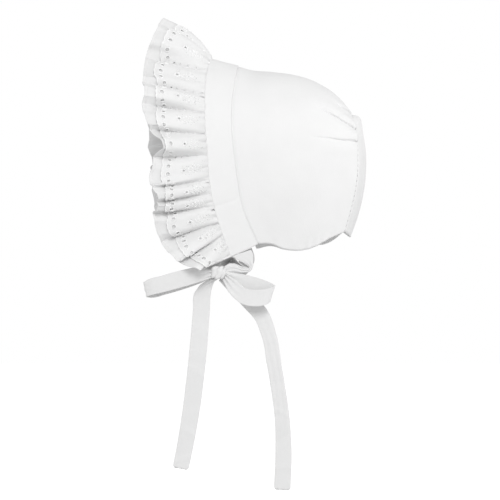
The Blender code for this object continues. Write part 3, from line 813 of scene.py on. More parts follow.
# How high each lobe stands for its depth, from the top lobe to the neck: the large ones puff out, the small ones sink
LIFTS = [1.0, 1.1, 1.3, 0.8, 1.35, 1.15, 1.3, 0.6, 0.7, 1.35, 1.15, 1.2]
LOBE_LIFTS = np.array(LIFTS[:0:-1] + LIFTS)
print("lobes", len(LOBE_LIFTS))

# %% [markdown]
# ## Directions and depths
# At each place of the seam the ruffle has a direction of its own, which leans outwards and fans towards the neck. The
# less room a lobe has at the free edge, the deeper its fold, because each lobe has the same length of cloth.

# %% Ruffle directions
LEAST_SPARE = 0.45
DEEPEST_LOBE = 0.30


def ruffle_stand(u):
    """Seam point, forward direction, the ruffle's own direction, its normal and the neckward direction at u."""
    low, high = np.clip(u - 0.002, -1.0, 1.0), np.clip(u + 0.002, -1.0, 1.0)
    point = band_rail(u)
    tangent = unit(band_rail(high) - band_rail(low))
    outward = unit(np.cross(tangent, np.array([-1.0, 0.0, 0.0])))
    forward = unit(np.cross(outward, tangent))
    neckward = tangent * np.where(u < 0, -1.0, 1.0)[..., None]
    share = np.abs(u)
    lean = np.where(u < 0, curve(RUFFLE_STAND, 1, share), curve(RUFFLE_STAND, 2, share))
    lean = np.radians(lean)[..., None]
    fan = np.where(u < 0, curve(RUFFLE_STAND, 3, share), curve(RUFFLE_STAND, 4, share))
    fan = np.radians(fan)[..., None]
    out = forward * np.cos(lean) + outward * np.sin(lean)
    normal = outward * np.cos(lean) - forward * np.sin(lean)
    return point, forward, out * np.cos(fan) + neckward * np.sin(fan), normal, neckward


def lobe_depths():
    """Fold depth from the spare cloth: a quarter of the root of cloth squared less width squared."""
    point, _, out, _, _ = ruffle_stand(LOBES)
    width = np.linalg.norm(np.diff(point + out * EYELET_RUFFLE_WIDTH, axis=0), axis=1)
    spare = np.maximum(SCALLOP_CLOTH**2 - width**2, (LEAST_SPARE * SCALLOP_CLOTH) ** 2)
    return np.minimum(np.sqrt(spare) / 4, DEEPEST_LOBE * width), width


LOBE_DEPTH, LOBE_WIDTH = lobe_depths()
print("lobe widths mm", (LOBE_WIDTH * 1000).round(0))


def lobe_place(u):
    """The lobe that u lies in, and the share of the way between its two ends."""
    index = np.clip(np.searchsorted(LOBES, u, side="right") - 1, 0, len(LOBES) - 2)
    return index, (u - LOBES[index]) / (LOBES[index + 1] - LOBES[index])


# %% [markdown]
# ## Gathers and tucks
# Near the seam the gathers are many and small, and they run together into the large lobes at the edge. A bump map
# could hint at them, but they catch real shadows, so they are part of the surface: two sets of sharp valleys that
# swell just off the seam and fade out before the edge, and a narrow tuck where two lobes meet.

# %% Gathers and tucks
SEAM_LENGTH = 0.424
FINE_REACH = 0.0025
FINE_DEPTH = 0.00120
COARSE_REACH = 0.014
COARSE_DEPTH = 0.00085
TUCK_DEPTH = 0.0029
TUCK_WIDTH = 0.0019


def gathers(u, r):
    """Sharp valleys off the seam: about 2|cos| - 1 of a warped running length, fine ones near it and coarse further."""
    x = u * SEAM_LENGTH / 2
    fine = 2 * np.sqrt(np.cos(x * 560 + 1.3 * np.sin(x * 95) + 0.6) ** 2 + 0.02) - 1.2
    small = np.sin(x * 1730 + 1.9 * np.sin(x * 140 + 2))
    coarse = 2 * np.sqrt(np.cos(x * 262 + 1.2 * np.sin(x * 47 + 1)) ** 2 + 0.03) - 1.2
    rise = (r / FINE_REACH) * np.exp(1 - r / FINE_REACH)
    later = (r / COARSE_REACH) ** 1.5 * np.exp(1.5 - 1.5 * r / COARSE_REACH)
    uneven = 0.75 + 0.35 * np.sin(x * 71 + 2.0) + 0.25 * np.sin(x * 173)
    return (fine + 0.35 * small) * rise * FINE_DEPTH * uneven + coarse * later * COARSE_DEPTH * (1.5 - uneven)


def tucks(u, r):
    """Narrow valleys where lobes meet: a bell of the distance to the meeting line, deepest over half way out."""
    index, place = lobe_place(u)
    share = np.clip(r / EYELET_RUFFLE_WIDTH, 0.0, 1.2)
    width = LOBE_WIDTH[index] * (0.6 + 0.4 * share)
    deep = np.sin(math.pi * np.clip(share / 1.14, 0.0, 1.0)) ** 0.8
    low = LOBE_TUCKS[index] * np.exp(-((place * width / TUCK_WIDTH) ** 2))
    high = LOBE_TUCKS[index + 1] * np.exp(-(((1 - place) * width / TUCK_WIDTH) ** 2))
    return (low + high) * deep * TUCK_DEPTH


near_seam = gathers(np.linspace(-1, 1, 2001), np.array(FINE_REACH))
print("deepest gather near the seam mm", round(float(np.abs(near_seam).max()) * 1000, 2))

# %% [markdown]
# ## The folded surface
# Both ruffles and all that is sewn on them lie on one folded surface, at small distances above or below it. It starts
# at the seam and goes out by the ruffle's direction. The lobes, gathers and tucks lift it along the normal, and each
# lobe leans towards the neck, as hanging cloth does.

# %% Folded ruffle surface
TOP_BULGE = 0.0060
ROOT_BACK = 0.0007
ROOT_LOW = 0.0002
ROOT_FORWARD = 0.0004


def ruffle_middle(u, r, fold=1.0):
    """The folded surface at r from the seam: seam + r * direction + lobes of the share `fold` of their height."""
    point, forward, out, normal, neckward = ruffle_stand(u)
    tilt = np.sum(out * forward, axis=-1, keepdims=True)
    root = -forward * ROOT_BACK - normal * ROOT_LOW + forward * ROOT_FORWARD * (1 - tilt)
    index, place = lobe_place(u)
    grow = (r / EYELET_RUFFLE_WIDTH) ** 0.9
    calm = np.clip(0.2 + (u / 0.09) ** 2, 0.2, 1.0)
    crest = 2 * LOBE_DEPTH[index] * LOBE_LIFTS[index] * (1 - np.abs(2 * place - 1) ** 2.6) * calm
    side = np.where(u < 0, -1.0, 1.0)
    sway = 0.05 * LOBE_WIDTH[index] * np.sin(4 * math.pi * place) * side
    lean = 0.30 * fold * crest * np.clip(np.abs(u) / 0.1, 0.0, 1.0)
    rise = (fold * crest - 1.2 * LOBE_DEPTH.mean()) * grow + gathers(u, r) - fold**2 * tucks(u, r)
    rise += TOP_BULGE * np.exp(-((u / 0.11) ** 2)) * np.sin(math.pi * np.clip(r / PLAIN_RUFFLE_WIDTH, 0.0, 1.0) ** 0.8)
    return point + root + out * r[..., None] + normal * rise[..., None] + neckward * ((sway + lean) * grow)[..., None]


def ruffle_layer(u, r, offset, fold=1.0):
    """The folded surface moved by `offset` along its own normal, the cross product of two short steps on it."""
    high, low = np.clip(u + 0.0004, -1.0, 1.0), np.clip(u - 0.0004, -1.0, 1.0)
    along = ruffle_middle(high, r, fold) - ruffle_middle(low, r, fold)
    ahead = ruffle_middle(u, r + 0.0002, fold) - ruffle_middle(u, np.maximum(r - 0.0002, 0.0), fold)
    normal = unit(np.cross(along, ahead))
    return ruffle_middle(u, r, fold) + normal * np.broadcast_to(offset, u.shape)[..., None]


print("surface at the top, 40 mm out:", ruffle_middle(np.array([0.0]), np.array([0.04])).round(3))

# %% [markdown]
# ## Scalloped edge
# The eyelet cloth is woven straight and its edge is cut in scallops, one for each lobe, with a small festoon beside
# each hole. A width that changes along the seam gives both.

# %% Scallop width
FESTOONS = 7
FESTOON_DEPTH = 0.0008


def scallop_width(u):
    """Width of the eyelet ruffle: less by the scallop's depth at a lobe's ends, with a small festoon at each hole."""
    _, place = lobe_place(u)
    round_edge = np.sqrt(np.clip(1 - 0.96 * (2 * place - 1) ** 2, 0.0, 1.0))
    festoon = FESTOON_DEPTH * (np.abs(np.sin(FESTOONS * math.pi * place)) - 0.6)
    return curve(RUFFLE_STAND, 5, np.abs(u)) * (EYELET_RUFFLE_WIDTH - SCALLOP_DEPTH * (1 - round_edge) + festoon)


print("ruffle widths mm", (scallop_width(np.linspace(-1, 1, 9)) * 1000).round(1))

# %% [markdown]
# ## Plain ruffle
# The under ruffle shares the folds of the upper one, lies just inside it and reaches further out. If it had folds of
# its own, the two would cut through each other. Its straight edge is turned under twice, which shows as a slightly
# thicker border, and it keeps only part of the lobes' height there.

# %% Plain ruffle cloth
RUFFLE_SHEET = 0.0006
HEM_FOLD = 0.55
HEM_THICKNESS = 0.00035
LAYER_GAP = 0.00055
LAYER_SPREAD = 0.0002


def hem_fold(r):
    """Share of the lobes' height that the plain ruffle keeps: all of it near the seam, less towards the hem."""
    start = 0.84 * EYELET_RUFFLE_WIDTH
    t = np.clip((r - start) / (1.05 * PLAIN_RUFFLE_WIDTH - start), 0.0, 1.0)
    return 1 - (1 - HEM_FOLD) * (3 * t**2 - 2 * t**3)


def closer_at_ends(count):
    """Shares from 0 to 1 that stand closer together at both ends, by a sine, where the cloth bends most."""
    t = np.linspace(0.0, 1.0, count + 1)
    return t - 0.6 * np.sin(2 * math.pi * t) / (2 * math.pi)


def lobe_columns(count):
    """Places along the seam, `count` to each lobe."""
    share = closer_at_ends(count)[:-1]
    return np.append((LOBES[:-1, None] + np.diff(LOBES)[:, None] * share).ravel(), 1.0)


def plain_width(u):
    """Width of the plain ruffle along the seam."""
    share = np.where(u < 0, curve(RUFFLE_STAND, 6, np.abs(u)), curve(RUFFLE_STAND, 5, np.abs(u)))
    return np.maximum(PLAIN_RUFFLE_WIDTH * share, scallop_width(u) * 1.02)


def plain_ruffle_points():
    """Grid over the plain ruffle: the distance from the seam is the row's share of the width at each place."""
    u = lobe_columns(30)
    rows = np.concatenate([np.linspace(0.0, 0.94, 34), [0.952, 0.958, 0.963, 0.968, 0.98, 0.992, 1.0]])
    reach = rows[:, None] * plain_width(u)[None]
    uu = np.broadcast_to(u, reach.shape)
    hem = np.clip((rows[:, None] - 0.955) / 0.010, 0.0, 1.0) * HEM_THICKNESS
    below = hem - LAYER_GAP - LAYER_SPREAD * reach / PLAIN_RUFFLE_WIDTH
    points = ruffle_layer(uu, reach, below, hem_fold(reach))
    edge = lengths_along(points[-1:])[0]
    return points, np.stack([np.broadcast_to(edge, reach.shape), reach], -1)


plain_grid, plain_uv = plain_ruffle_points()
plain = cloth_sheet("plain_ruffle_cloth", plain_grid, plain_uv, RUFFLE_COTTON_SHADED, RUFFLE_SHEET)
place_piece(plain, "ruffle_cotton", "plain_ruffle")

# %% [markdown]
# ## Eyelet ruffle
# The upper ruffle is cut through: five large eyelets follow each scallop, small ones stand where two scallops
# meet, a ladder of tiny ones climbs from there to the seam, and a single one is the heart of the flower. Boolean
# cuts through folded cloth would leave ragged holes. So the flat pattern is drawn first, and the folds come after.

# %% Eyelet pattern on the flat cloth
BIG_HOLE = 0.0012
# One scallop: share across it, distance in from the edge, radius
EYELETS = [
    (-0.36, 0.0072, 0.00150),
    (-0.20, 0.0062, 0.00175),
    (0.00, 0.0062, 0.00185),
    (0.20, 0.0062, 0.00175),
    (0.36, 0.0072, 0.00150),
    (-0.42, 0.0130, 0.00095),
    (0.42, 0.0130, 0.00095),
    (0.00, 0.0215, 0.00125),
]
# Both sides of a scallop: the ladder of tiny holes from the edge towards the seam
LADDER = [0.0185, 0.0255, 0.0335]
LADDER_HOLE = 0.00055
EYELETS += [(side, depth, LADDER_HOLE) for depth in LADDER for side in (-0.41, 0.41)]


def lobe_lengths():
    """For each lobe, the running cloth length across it near the free edge, at 81 even places."""
    p = np.linspace(0.0, 1.0, 81)
    u = LOBES[:-1, None] + (LOBES[1:] - LOBES[:-1])[:, None] * p[None]
    reach = 0.8 * scallop_width(u)
    return p, lengths_along(ruffle_middle(u, reach))


LOBE_P, LOBE_RUN = lobe_lengths()
CLOTH_WIDTH = LOBE_RUN[:, -1]
print("cloth in each lobe mm", (CLOTH_WIDTH * 1000).round(0))


def lobe_u(lobe, across):
    """The place on the seam under a place across the flat cloth of one lobe, in metres from its lower end."""
    p = np.interp(across, LOBE_RUN[lobe], LOBE_P)
    return LOBES[lobe] + (LOBES[lobe + 1] - LOBES[lobe]) * p


def lobe_eyelets(lobe):
    """Centres and radii of the eyelets of one lobe on its flat cloth."""
    width = CLOTH_WIDTH[lobe]
    table = np.array(EYELETS)
    across = (0.5 + table[:, 0]) * width
    reach = scallop_width(lobe_u(lobe, across)) - table[:, 1]
    return np.stack([across, reach], -1), table[:, 2]


print("eyelets in each lobe", len(lobe_eyelets(0)[1]))

# %% [markdown]
# ## Flat cloth with holes
# The flat cloth of one lobe is filled with triangles by a constrained Delaunay triangulation, which keeps to its
# outline and to the circles of its holes. The triangles inside a hole are then left out.

# %% Triangles of one lobe
HOLE_CLEARANCE = 0.00045
LOBE_GRID = 30


def lobe_triangles(lobe):
    """Points and triangles of one lobe's flat cloth: outline, circles of the eyelets and an even grid between."""
    width = CLOTH_WIDTH[lobe]
    centres, radii = lobe_eyelets(lobe)
    ends = scallop_width(np.array([LOBES[lobe], LOBES[lobe + 1]]))
    rows = np.linspace(0.0, 1.0, LOBE_GRID)
    columns = closer_at_ends(LOBE_GRID)
    edge_x = columns[1:-1] * width
    edge = np.stack([edge_x, scallop_width(lobe_u(lobe, edge_x))], -1)
    seam = np.stack([edge_x, np.zeros_like(edge_x)], -1)
    left = np.stack([np.zeros(LOBE_GRID), rows * ends[0]], -1)
    right = np.stack([np.full(LOBE_GRID, width), rows * ends[1]], -1)
    outline = np.concatenate([seam, right, edge[::-1], left[::-1]])
    spots = [outline]
    edges = [np.stack([np.arange(len(outline)), (np.arange(len(outline)) + 1) % len(outline)], -1)]
    start = len(outline)
    for centre, radius in zip(centres, radii):
        count = 14 if radius > BIG_HOLE else 10
        turn = np.arange(count) * 2 * math.pi / count
        spots.append(centre + radius * np.stack([np.cos(turn), np.sin(turn)], -1))
        edges.append(start + np.stack([np.arange(count), (np.arange(count) + 1) % count], -1))
        start += count
    gx, gr = np.meshgrid(columns[1:-1], rows[1:-1])
    top = scallop_width(lobe_u(lobe, gx * width))
    inner = np.stack([gx * width, gr * top], -1).reshape(-1, 2)
    gap = np.linalg.norm(inner[:, None] - centres[None], axis=-1) - radii[None]
    spots.append(inner[gap.min(axis=1) > HOLE_CLEARANCE])
    flat = np.concatenate(spots)
    found = delaunay_2d_cdt([Vector(spot) for spot in flat * 1000], np.concatenate(edges).tolist(), [], 1, 1e-5)
    points = np.array([spot[:] for spot in found[0]]) / 1000
    faces = np.array([face[:] for face in found[2]])
    middle = points[faces].mean(axis=1)
    gap = np.linalg.norm(middle[:, None] - centres[None], axis=-1) - radii[None]
    return points, faces[gap.min(axis=1) > 0]


print("triangles in the top lobe", len(lobe_triangles(len(CLOTH_WIDTH) // 2)[1]))

# %% [markdown]
# ## Laying the lobes
# The flat lobes are laid on the folded surface one beside the other and joined where they meet. That keeps the holes
# round on the cloth, and they bend with it. A value at each point marks where the spray is embroidered, for the
# painted shade of the needle pricks.

# %% Eyelet ruffle cloth
NEEDLE_HALF = 0.0065
NEEDLE_FROM = 0.018
NEEDLE_TO = 0.044
NEEDLE_FADE = 0.004


def lay_on_lobe(lobe, flat, offset):
    """Points of one lobe's flat cloth laid on the folded surface."""
    u = lobe_u(lobe, np.clip(flat[:, 0], 0.0, CLOTH_WIDTH[lobe]))
    return ruffle_layer(u, np.maximum(flat[:, 1], 0.0), offset)


def merged(points, faces, uv, extra=None, step=1e-6):
    """The same mesh with points that coincide joined into one, and with the extra value of each point that stays."""
    _, first, back = np.unique(np.round(points / step).astype(np.int64), axis=0, return_index=True, return_inverse=True)
    return points[first], back.ravel()[faces], uv[first], None if extra is None else extra[first]


def needle_mask(lobe, flat):
    """One where the spray is embroidered: a fourth-power bell across, between 18 and 44 mm in from the edge."""
    inward = scallop_width(lobe_u(lobe, np.clip(flat[:, 0], 0.0, CLOTH_WIDTH[lobe]))) - flat[:, 1]
    aside = (flat[:, 0] - CLOTH_WIDTH[lobe] / 2) / NEEDLE_HALF
    begins = np.clip((inward - NEEDLE_FROM) / NEEDLE_FADE, 0.0, 1.0)
    return np.exp(-(aside**4)) * begins * np.clip((NEEDLE_TO - inward) / NEEDLE_FADE, 0.0, 1.0)


cloth_points, cloth_faces, cloth_uv, cloth_mask = [], [], [], []
count = 0
run = 0.0
for lobe in range(len(CLOTH_WIDTH)):
    flat, faces = lobe_triangles(lobe)
    cloth_points.append(lay_on_lobe(lobe, flat, LAYER_GAP))
    cloth_faces.append(faces + count)
    cloth_uv.append(flat + np.array([run, 0.0]))
    cloth_mask.append(needle_mask(lobe, flat))
    count += len(flat)
    run += CLOTH_WIDTH[lobe]
eyelet_mesh = merged(np.concatenate(cloth_points), np.concatenate(cloth_faces), np.concatenate(cloth_uv),
                     np.concatenate(cloth_mask))
eyelet = thicken(mesh_object("eyelet_ruffle_cloth", *eyelet_mesh[:3], EYELET_COTTON_SHADED), RUFFLE_SHEET)
place_piece(eyelet, "eyelet_cotton", "eyelet_ruffle")
# Where the spray is, for the painted shade of the needle pricks
needle_zone = eyelet.data.attributes.new("needle_zone", "FLOAT", "POINT")
needle_zone.data.foreach_set("value", eyelet_mesh[3].astype(np.float32))

# %% [markdown]
# ## Satin rings
# Satin stitch stands up round every hole. Torus primitives would sit stiffly on the folds, so a ring is the band
# between two circles, domed across, and it is laid on the folds like the cloth. There are hundreds of rings, so each
# has only 48 faces, and all of them are one mesh.

# %% Satin rings
SKIN = LAYER_GAP + RUFFLE_SHEET / 2
RING_WIDTH = 0.00085
SMALL_RING_WIDTH = 0.00060
RING_SIDES = 12
RING_INSIDE = 0.00006
RING_SHARES = np.array([0.0, 0.02, 0.45, 0.88, 1.0])
RING_HEIGHTS = np.array([-0.0005, 0.00025, 0.00064, 0.00044, -0.0001])


def satin_rings():
    """Rings domed from the hole's edge outwards, as one mesh for all lobes."""
    points, faces, uvs = [], [], []
    count = 0
    turn = np.arange(RING_SIDES) * 2 * math.pi / RING_SIDES
    for lobe in range(len(CLOTH_WIDTH)):
        centres, radii = lobe_eyelets(lobe)
        for centre, radius in zip(centres, radii):
            band = RING_WIDTH if radius > BIG_HOLE else SMALL_RING_WIDTH
            rho = radius - RING_INSIDE + band * RING_SHARES
            high = RING_HEIGHTS * band / RING_WIDTH
            flat = centre + rho[:, None, None] * np.stack([np.cos(turn), np.sin(turn)], -1)[None]
            heights = np.repeat(SKIN + high, len(turn))
            points.append(lay_on_lobe(lobe, flat.reshape(-1, 2), heights))
            faces.append(grid_faces(len(rho), len(turn), close=True) + count)
            uvs.append(np.stack(np.meshgrid(turn * 0.002, rho), -1).reshape(-1, 2))
            count += len(rho) * len(turn)
    return np.concatenate(points), np.concatenate(faces), np.concatenate(uvs)


ring_points, ring_faces, ring_uv = satin_rings()
rings = mesh_object("eyelet_rings", ring_points, ring_faces, ring_uv, EMBROIDERY)
place_piece(rings, "eyelet_cotton")
print("rings", len(CLOTH_WIDTH) * len(EYELETS), "with", len(ring_faces), "faces")

# %% [markdown]
# ## Sprays
# In each lobe a small flower stands round the single eyelet, and a stem with leaves and berries climbs behind it
# towards the seam. The stitches are too low to model one by one. Each petal or leaf is a low dome on an ellipse
# instead, and a table places them on the flat cloth.

# %% Spray tables
# Petals round the single eyelet: aside and inward in mm, half length and half width in mm, turn in degrees
FLOWER_PLACE = 21.5
FLOWER_RADIUS = 2.25
PETALS = [
    (FLOWER_RADIUS * math.sin(a), FLOWER_PLACE + FLOWER_RADIUS * math.cos(a), 0.85, 0.50, math.degrees(a))
    for a in np.arange(8) * math.pi / 4
]
# The spray behind it: pairs of leaves along a stem, with berries outside them
LEAVES = [
    (1.5, 26.6, 1.15, 0.55, 40),
    (2.6, 28.8, 1.25, 0.60, 48),
    (1.3, 30.2, 1.00, 0.50, 35),
    (3.2, 31.9, 1.25, 0.60, 52),
    (1.6, 33.4, 1.10, 0.55, 40),
    (2.9, 35.4, 1.20, 0.55, 48),
    (1.4, 37.0, 1.00, 0.50, 35),
    (4.6, 29.6, 0.55, 0.50, 0),
    (5.2, 32.6, 0.55, 0.50, 0),
    (4.8, 35.8, 0.50, 0.45, 0),
    (3.2, 38.4, 0.50, 0.45, 0),
    (1.2, 39.8, 0.45, 0.45, 0),
]
STEM = [(0.0, inward, 0.75, 0.26, 0) for inward in (25.8, 27.6, 29.4, 31.2, 33.0, 34.8, 36.6)]
MARKS = np.array(PETALS + LEAVES + [(-a, i, h, w, -t) for a, i, h, w, t in LEAVES] + STEM)
print("marks in each spray", len(MARKS))

# %% [markdown]
# ## Domes of satin stitch
# All the domes of a lobe are worked out in one array: marks by rings by points of a ring. The ones that would reach
# into the seam, where the ruffle is narrow, are left out.

# %% Embroidered sprays
MARK_SIDES = 8
MARK_SHARES = np.array([1.0, 0.85, 0.5, 0.0])
MARK_HEIGHTS = np.array([-0.00010, 0.00034, 0.00056, 0.00062])
SEAM_MARGIN = 0.004


def raised_marks():
    """Domes of satin stitch: rings of an ellipse, each lifted by its height in the table."""
    points, faces, uvs = [], [], []
    count = 0
    turn = np.arange(MARK_SIDES) * 2 * math.pi / MARK_SIDES
    rho, high = MARK_SHARES, MARK_HEIGHTS
    for lobe in range(len(CLOTH_WIDTH)):
        across = CLOTH_WIDTH[lobe] / 2 + MARKS[:, 0] / 1000
        reach = scallop_width(lobe_u(lobe, across)) - MARKS[:, 1] / 1000
        kept = reach > SEAM_MARGIN
        tilt = np.radians(MARKS[kept, 4])[:, None, None]
        long = rho[None, :, None] * np.cos(turn)[None, None] * MARKS[kept, 2][:, None, None] / 1000
        wide = rho[None, :, None] * np.sin(turn)[None, None] * MARKS[kept, 3][:, None, None] / 1000
        x = across[kept][:, None, None] + long * np.sin(tilt) + wide * np.cos(tilt)
        r = reach[kept][:, None, None] - long * np.cos(tilt) + wide * np.sin(tilt)
        lift = np.broadcast_to(SKIN + high[None, :, None], x.shape)
        flat = np.stack([x, r], -1).reshape(-1, 2)
        points.append(lay_on_lobe(lobe, flat, lift.ravel()))
        uvs.append(flat)
        one = grid_faces(len(rho), len(turn), close=True)
        starts = np.arange(kept.sum()) * len(rho) * len(turn) + count
        faces.append((one[None] + starts[:, None, None]).reshape(-1, 4))
        count += len(flat)
    return merged(np.concatenate(points), np.concatenate(faces), np.concatenate(uvs))


mark_mesh = raised_marks()
marks = mesh_object("embroidered_sprays", *mark_mesh[:3], EMBROIDERY)
place_piece(marks, "eyelet_cotton")
print("embroidery", len(mark_mesh[1]), "faces")

# %% [markdown]
# ## Corded edge
# The scallops are finished with a close row of stitches that reads as a fine cord. A curve with a round bevel would
# do, but a small tube on the folded surface follows every festoon and stays on the cloth.

# %% Corded edge
EDGE_RADIUS = 0.00062
EDGE_SIDES = 8
EDGE_INSET = 0.0004
EDGE_KNOTS = 0.14


def corded_edge():
    """A tube of eight sides round the scalloped edge, with its knots as a swelling about every third ring."""
    u = lobe_columns(48)
    shape = (EDGE_SIDES, len(u))
    turn = np.arange(EDGE_SIDES)[:, None] * 2 * math.pi / EDGE_SIDES
    size = EDGE_RADIUS * (1 + EDGE_KNOTS * np.sin(np.arange(len(u)) * 2.1))
    outwards = scallop_width(u) - EDGE_INSET + np.cos(turn) * size[None]
    points = ruffle_layer(np.broadcast_to(u, shape), outwards, LAYER_GAP + np.sin(turn) * size[None])
    run_uv = np.broadcast_to(lengths_along(points[:1])[0], shape)
    uv = np.stack([run_uv, np.broadcast_to(turn * 0.0006, shape)], -1)
    return np.swapaxes(points, 0, 1), np.swapaxes(uv, 0, 1)


edge_points, edge_uv = corded_edge()
edge_faces = grid_faces(len(edge_points), EDGE_SIDES, close=True)
edge = mesh_object("scalloped_edge", edge_points.reshape(-1, 3), edge_faces, edge_uv.reshape(-1, 2), EMBROIDERY)
place_piece(edge, "eyelet_cotton")
print("corded edge", len(edge_faces), "faces")

# %% [markdown]
# ## Ties and bow
# Each tie is one strip of cloth, and the bow shows it as a run, a loop and a hanging end. A curve with a flat bevel
# would twist where it likes, so each strap has a table of its middle line with the width and its turn at every row.

# %% Runs of the two ties
TIE_WIDTH = 0.0145
TIE_CLOTH = 0.0010
KNOT_WIDTH = 0.0118
KNOT_HEIGHT = 0.0118
KNOT_THICKNESS = 0.0130
KNOT_FORWARD = 0.0110
KNOT_DROP = 0.0148
KNOT_OUT = 0.0060
CHIN_SAG = 0.0237

# Each strap: aside, back and up as shares of its length, width share, turn of the width from upright
NEAR_TIE = [
    (0.00, 0.00, 0.000, 1.28, 72),
    (0.12, -0.01, -0.115, 1.12, 74),
    (0.22, -0.01, -0.260, 0.84, 77),
    (0.32, -0.01, -0.410, 0.46, 82),
    (0.365, 0.00, -0.540, 0.20, 100),
    (0.31, 0.02, -0.625, 0.20, 150),
    (0.073, 0.02, -0.640, 0.34, 178),
    (-0.27, -0.02, -0.580, 0.58, 182),
    (-0.53, -0.07, -0.640, 0.62, 180),
    (-0.65, -0.10, -0.690, 0.46, 178),
]
FAR_TIE = [
    (0.00, 0.00, 0.00, 1.00, 66),
    (0.02, -0.08, -0.27, 1.00, 78),
    (-0.03, -0.30, -0.73, 1.00, 86),
    (-0.12, -0.60, -1.00, 0.96, 90),
    (-0.20, -0.82, -0.96, 0.75, 90),
    (-0.248, -0.983, -0.846, 0.45, 90),
]
print("rows of the runs", len(NEAR_TIE), len(FAR_TIE))

# %% [markdown]
# ## Loops and ends of the bow
# A loop leaves the knot, turns at its tip and comes back, all in one table. An end leaves from under the knot, bends
# once and hangs. The last column twists the strap a little on its way, as cloth does. The columns are the ones of
# the runs.

# %% Tables of the bow
LOOP_LEFT_LENGTH = 0.0605
LOOP_RIGHT_LENGTH = 0.0440
END_LEFT_LENGTH = 0.1700
END_RIGHT_LENGTH = 0.1890

LOOP_LEFT = [
    (0.000, 0.02, 0.000, 0.42, 0),
    (-0.170, 0.055, -0.030, 0.86, -6),
    (-0.430, 0.070, -0.105, 1.02, -10),
    (-0.720, 0.060, -0.190, 1.02, -12),
    (-0.930, 0.035, -0.245, 0.98, -12),
    (-1.000, -0.010, -0.240, 0.90, -12),
    (-0.930, -0.055, -0.205, 0.98, -12),
    (-0.720, -0.090, -0.150, 1.02, -12),
    (-0.430, -0.100, -0.070, 1.02, -10),
    (-0.170, -0.075, -0.012, 0.86, -4),
    (0.000, -0.035, 0.000, 0.42, 0),
]
LOOP_RIGHT = [
    (0.00, 0.015, -0.03, 0.42, 0),
    (0.26, 0.055, -0.14, 0.88, 12),
    (0.58, 0.065, -0.23, 1.00, 14),
    (0.87, 0.040, -0.33, 1.00, 18),
    (0.99, -0.040, -0.40, 0.98, 18),
    (0.90, -0.150, -0.46, 1.00, 10),
    (0.65, -0.195, -0.50, 1.02, 2),
    (0.42, -0.190, -0.46, 1.00, 12),
    (0.22, -0.150, -0.30, 0.86, 34),
    (0.03, -0.070, -0.08, 0.44, 30),
]
END_LEFT = [
    (0.000, 0.012, 0.000, 0.42, 84),
    (-0.040, 0.040, -0.030, 0.86, 78),
    (-0.062, 0.050, -0.075, 1.04, 86),
    (-0.068, 0.045, -0.160, 1.04, 90),
    (-0.080, 0.030, -0.320, 1.06, 92),
    (-0.098, 0.022, -0.500, 1.08, 94),
    (-0.122, 0.026, -0.690, 1.06, 97),
    (-0.150, 0.030, -0.860, 1.02, 99),
    (-0.178, 0.026, -1.000, 0.98, 100),
]
END_RIGHT = [
    (0.000, 0.012, 0.000, 0.42, 60),
    (0.060, 0.040, -0.040, 0.90, 48),
    (0.130, 0.046, -0.110, 1.00, 52),
    (0.185, 0.040, -0.175, 0.98, 66),
    (0.222, 0.030, -0.270, 0.90, 80),
    (0.245, 0.022, -0.400, 0.88, 81),
    (0.268, 0.018, -0.540, 0.88, 81),
    (0.285, 0.020, -0.680, 0.92, 84),
    (0.290, 0.024, -0.820, 1.00, 90),
    (0.284, 0.022, -1.000, 1.02, 93),
]

print("rows of the bow", [len(table) for table in (LOOP_LEFT, LOOP_RIGHT, END_LEFT, END_RIGHT)])

# %% [markdown]
# ## Strap surface
# A strap is a little hollow across, creased lengthwise where it is pinched at the knot, and creased across where it
# was pressed or tied before. The ends have slightly rounded corners, as a turned strip has.

# %% Strap cloth
CROSS_DEPTH = 0.0005
CORNER_LENGTH = 0.0026
STRAP_HOLLOW = 0.0010


def cross_creases(at, v, seed):
    """Seven soft slanting creases at seeded places: bells of the distance along the strap, half to fully deep."""
    rng = np.random.default_rng(seed)
    total = np.zeros(np.broadcast(at, v).shape)
    for place in np.linspace(0.12, 0.92, 7) + rng.uniform(-0.05, 0.05, 7):
        slant, width = rng.uniform(-0.05, 0.05), rng.uniform(0.012, 0.03)
        total += rng.choice([-1, 1]) * rng.uniform(0.5, 1.0) * np.exp(-(((at - place - slant * v) / width) ** 2))
    return total * CROSS_DEPTH


def strap_points(start, table, length, steps, across, crease, hangs=False):
    """A strap along the table's smooth middle line, its width turned row by row, with sine creases where pinched."""
    rows = np.array(table, float)
    middle = start + rows[:, :3] * length
    gaps = np.linalg.norm(np.diff(middle, axis=0), axis=1)
    share = np.concatenate([[0.0], np.cumsum(gaps)]) / gaps.sum()
    smooth = np.column_stack([share, middle, rows[:, 3:]])
    at = np.linspace(0.0, 1.0, steps)
    line = np.stack([curve(smooth, i, at) for i in (1, 2, 3)], axis=-1)
    width = curve(smooth, 4, at)
    if hangs:
        corner = np.clip(1 - (1 - at) * gaps.sum() / CORNER_LENGTH, 0.0, 1.0)
        width = width * (0.72 + 0.28 * np.sqrt(1 - corner**2))
    turn = np.radians(curve(smooth, 5, at))
    side = np.stack([np.sin(turn), np.zeros_like(turn), np.cos(turn)], axis=-1)
    v = np.linspace(-0.5, 0.5, across)
    grid = line[:, None] + side[:, None] * (width * TIE_WIDTH)[:, None, None] * v[None, :, None]
    normal = grid_normals(grid)
    pinch = np.clip(1 - width, 0.0, 0.6)[:, None]
    folds = np.sin(v[None] * 15.0 + 1.5 * np.sin(at[:, None] * 9)) * pinch * crease
    hollow = (v[None] ** 2 - 0.08) * STRAP_HOLLOW
    uv = np.stack(np.broadcast_arrays(v[None] * TIE_WIDTH, at[:, None] * gaps.sum()), -1)
    if hangs:
        folds = folds + cross_creases(at[:, None], v[None], steps)
    return grid + normal * (folds + hollow)[..., None], uv, gaps.sum()


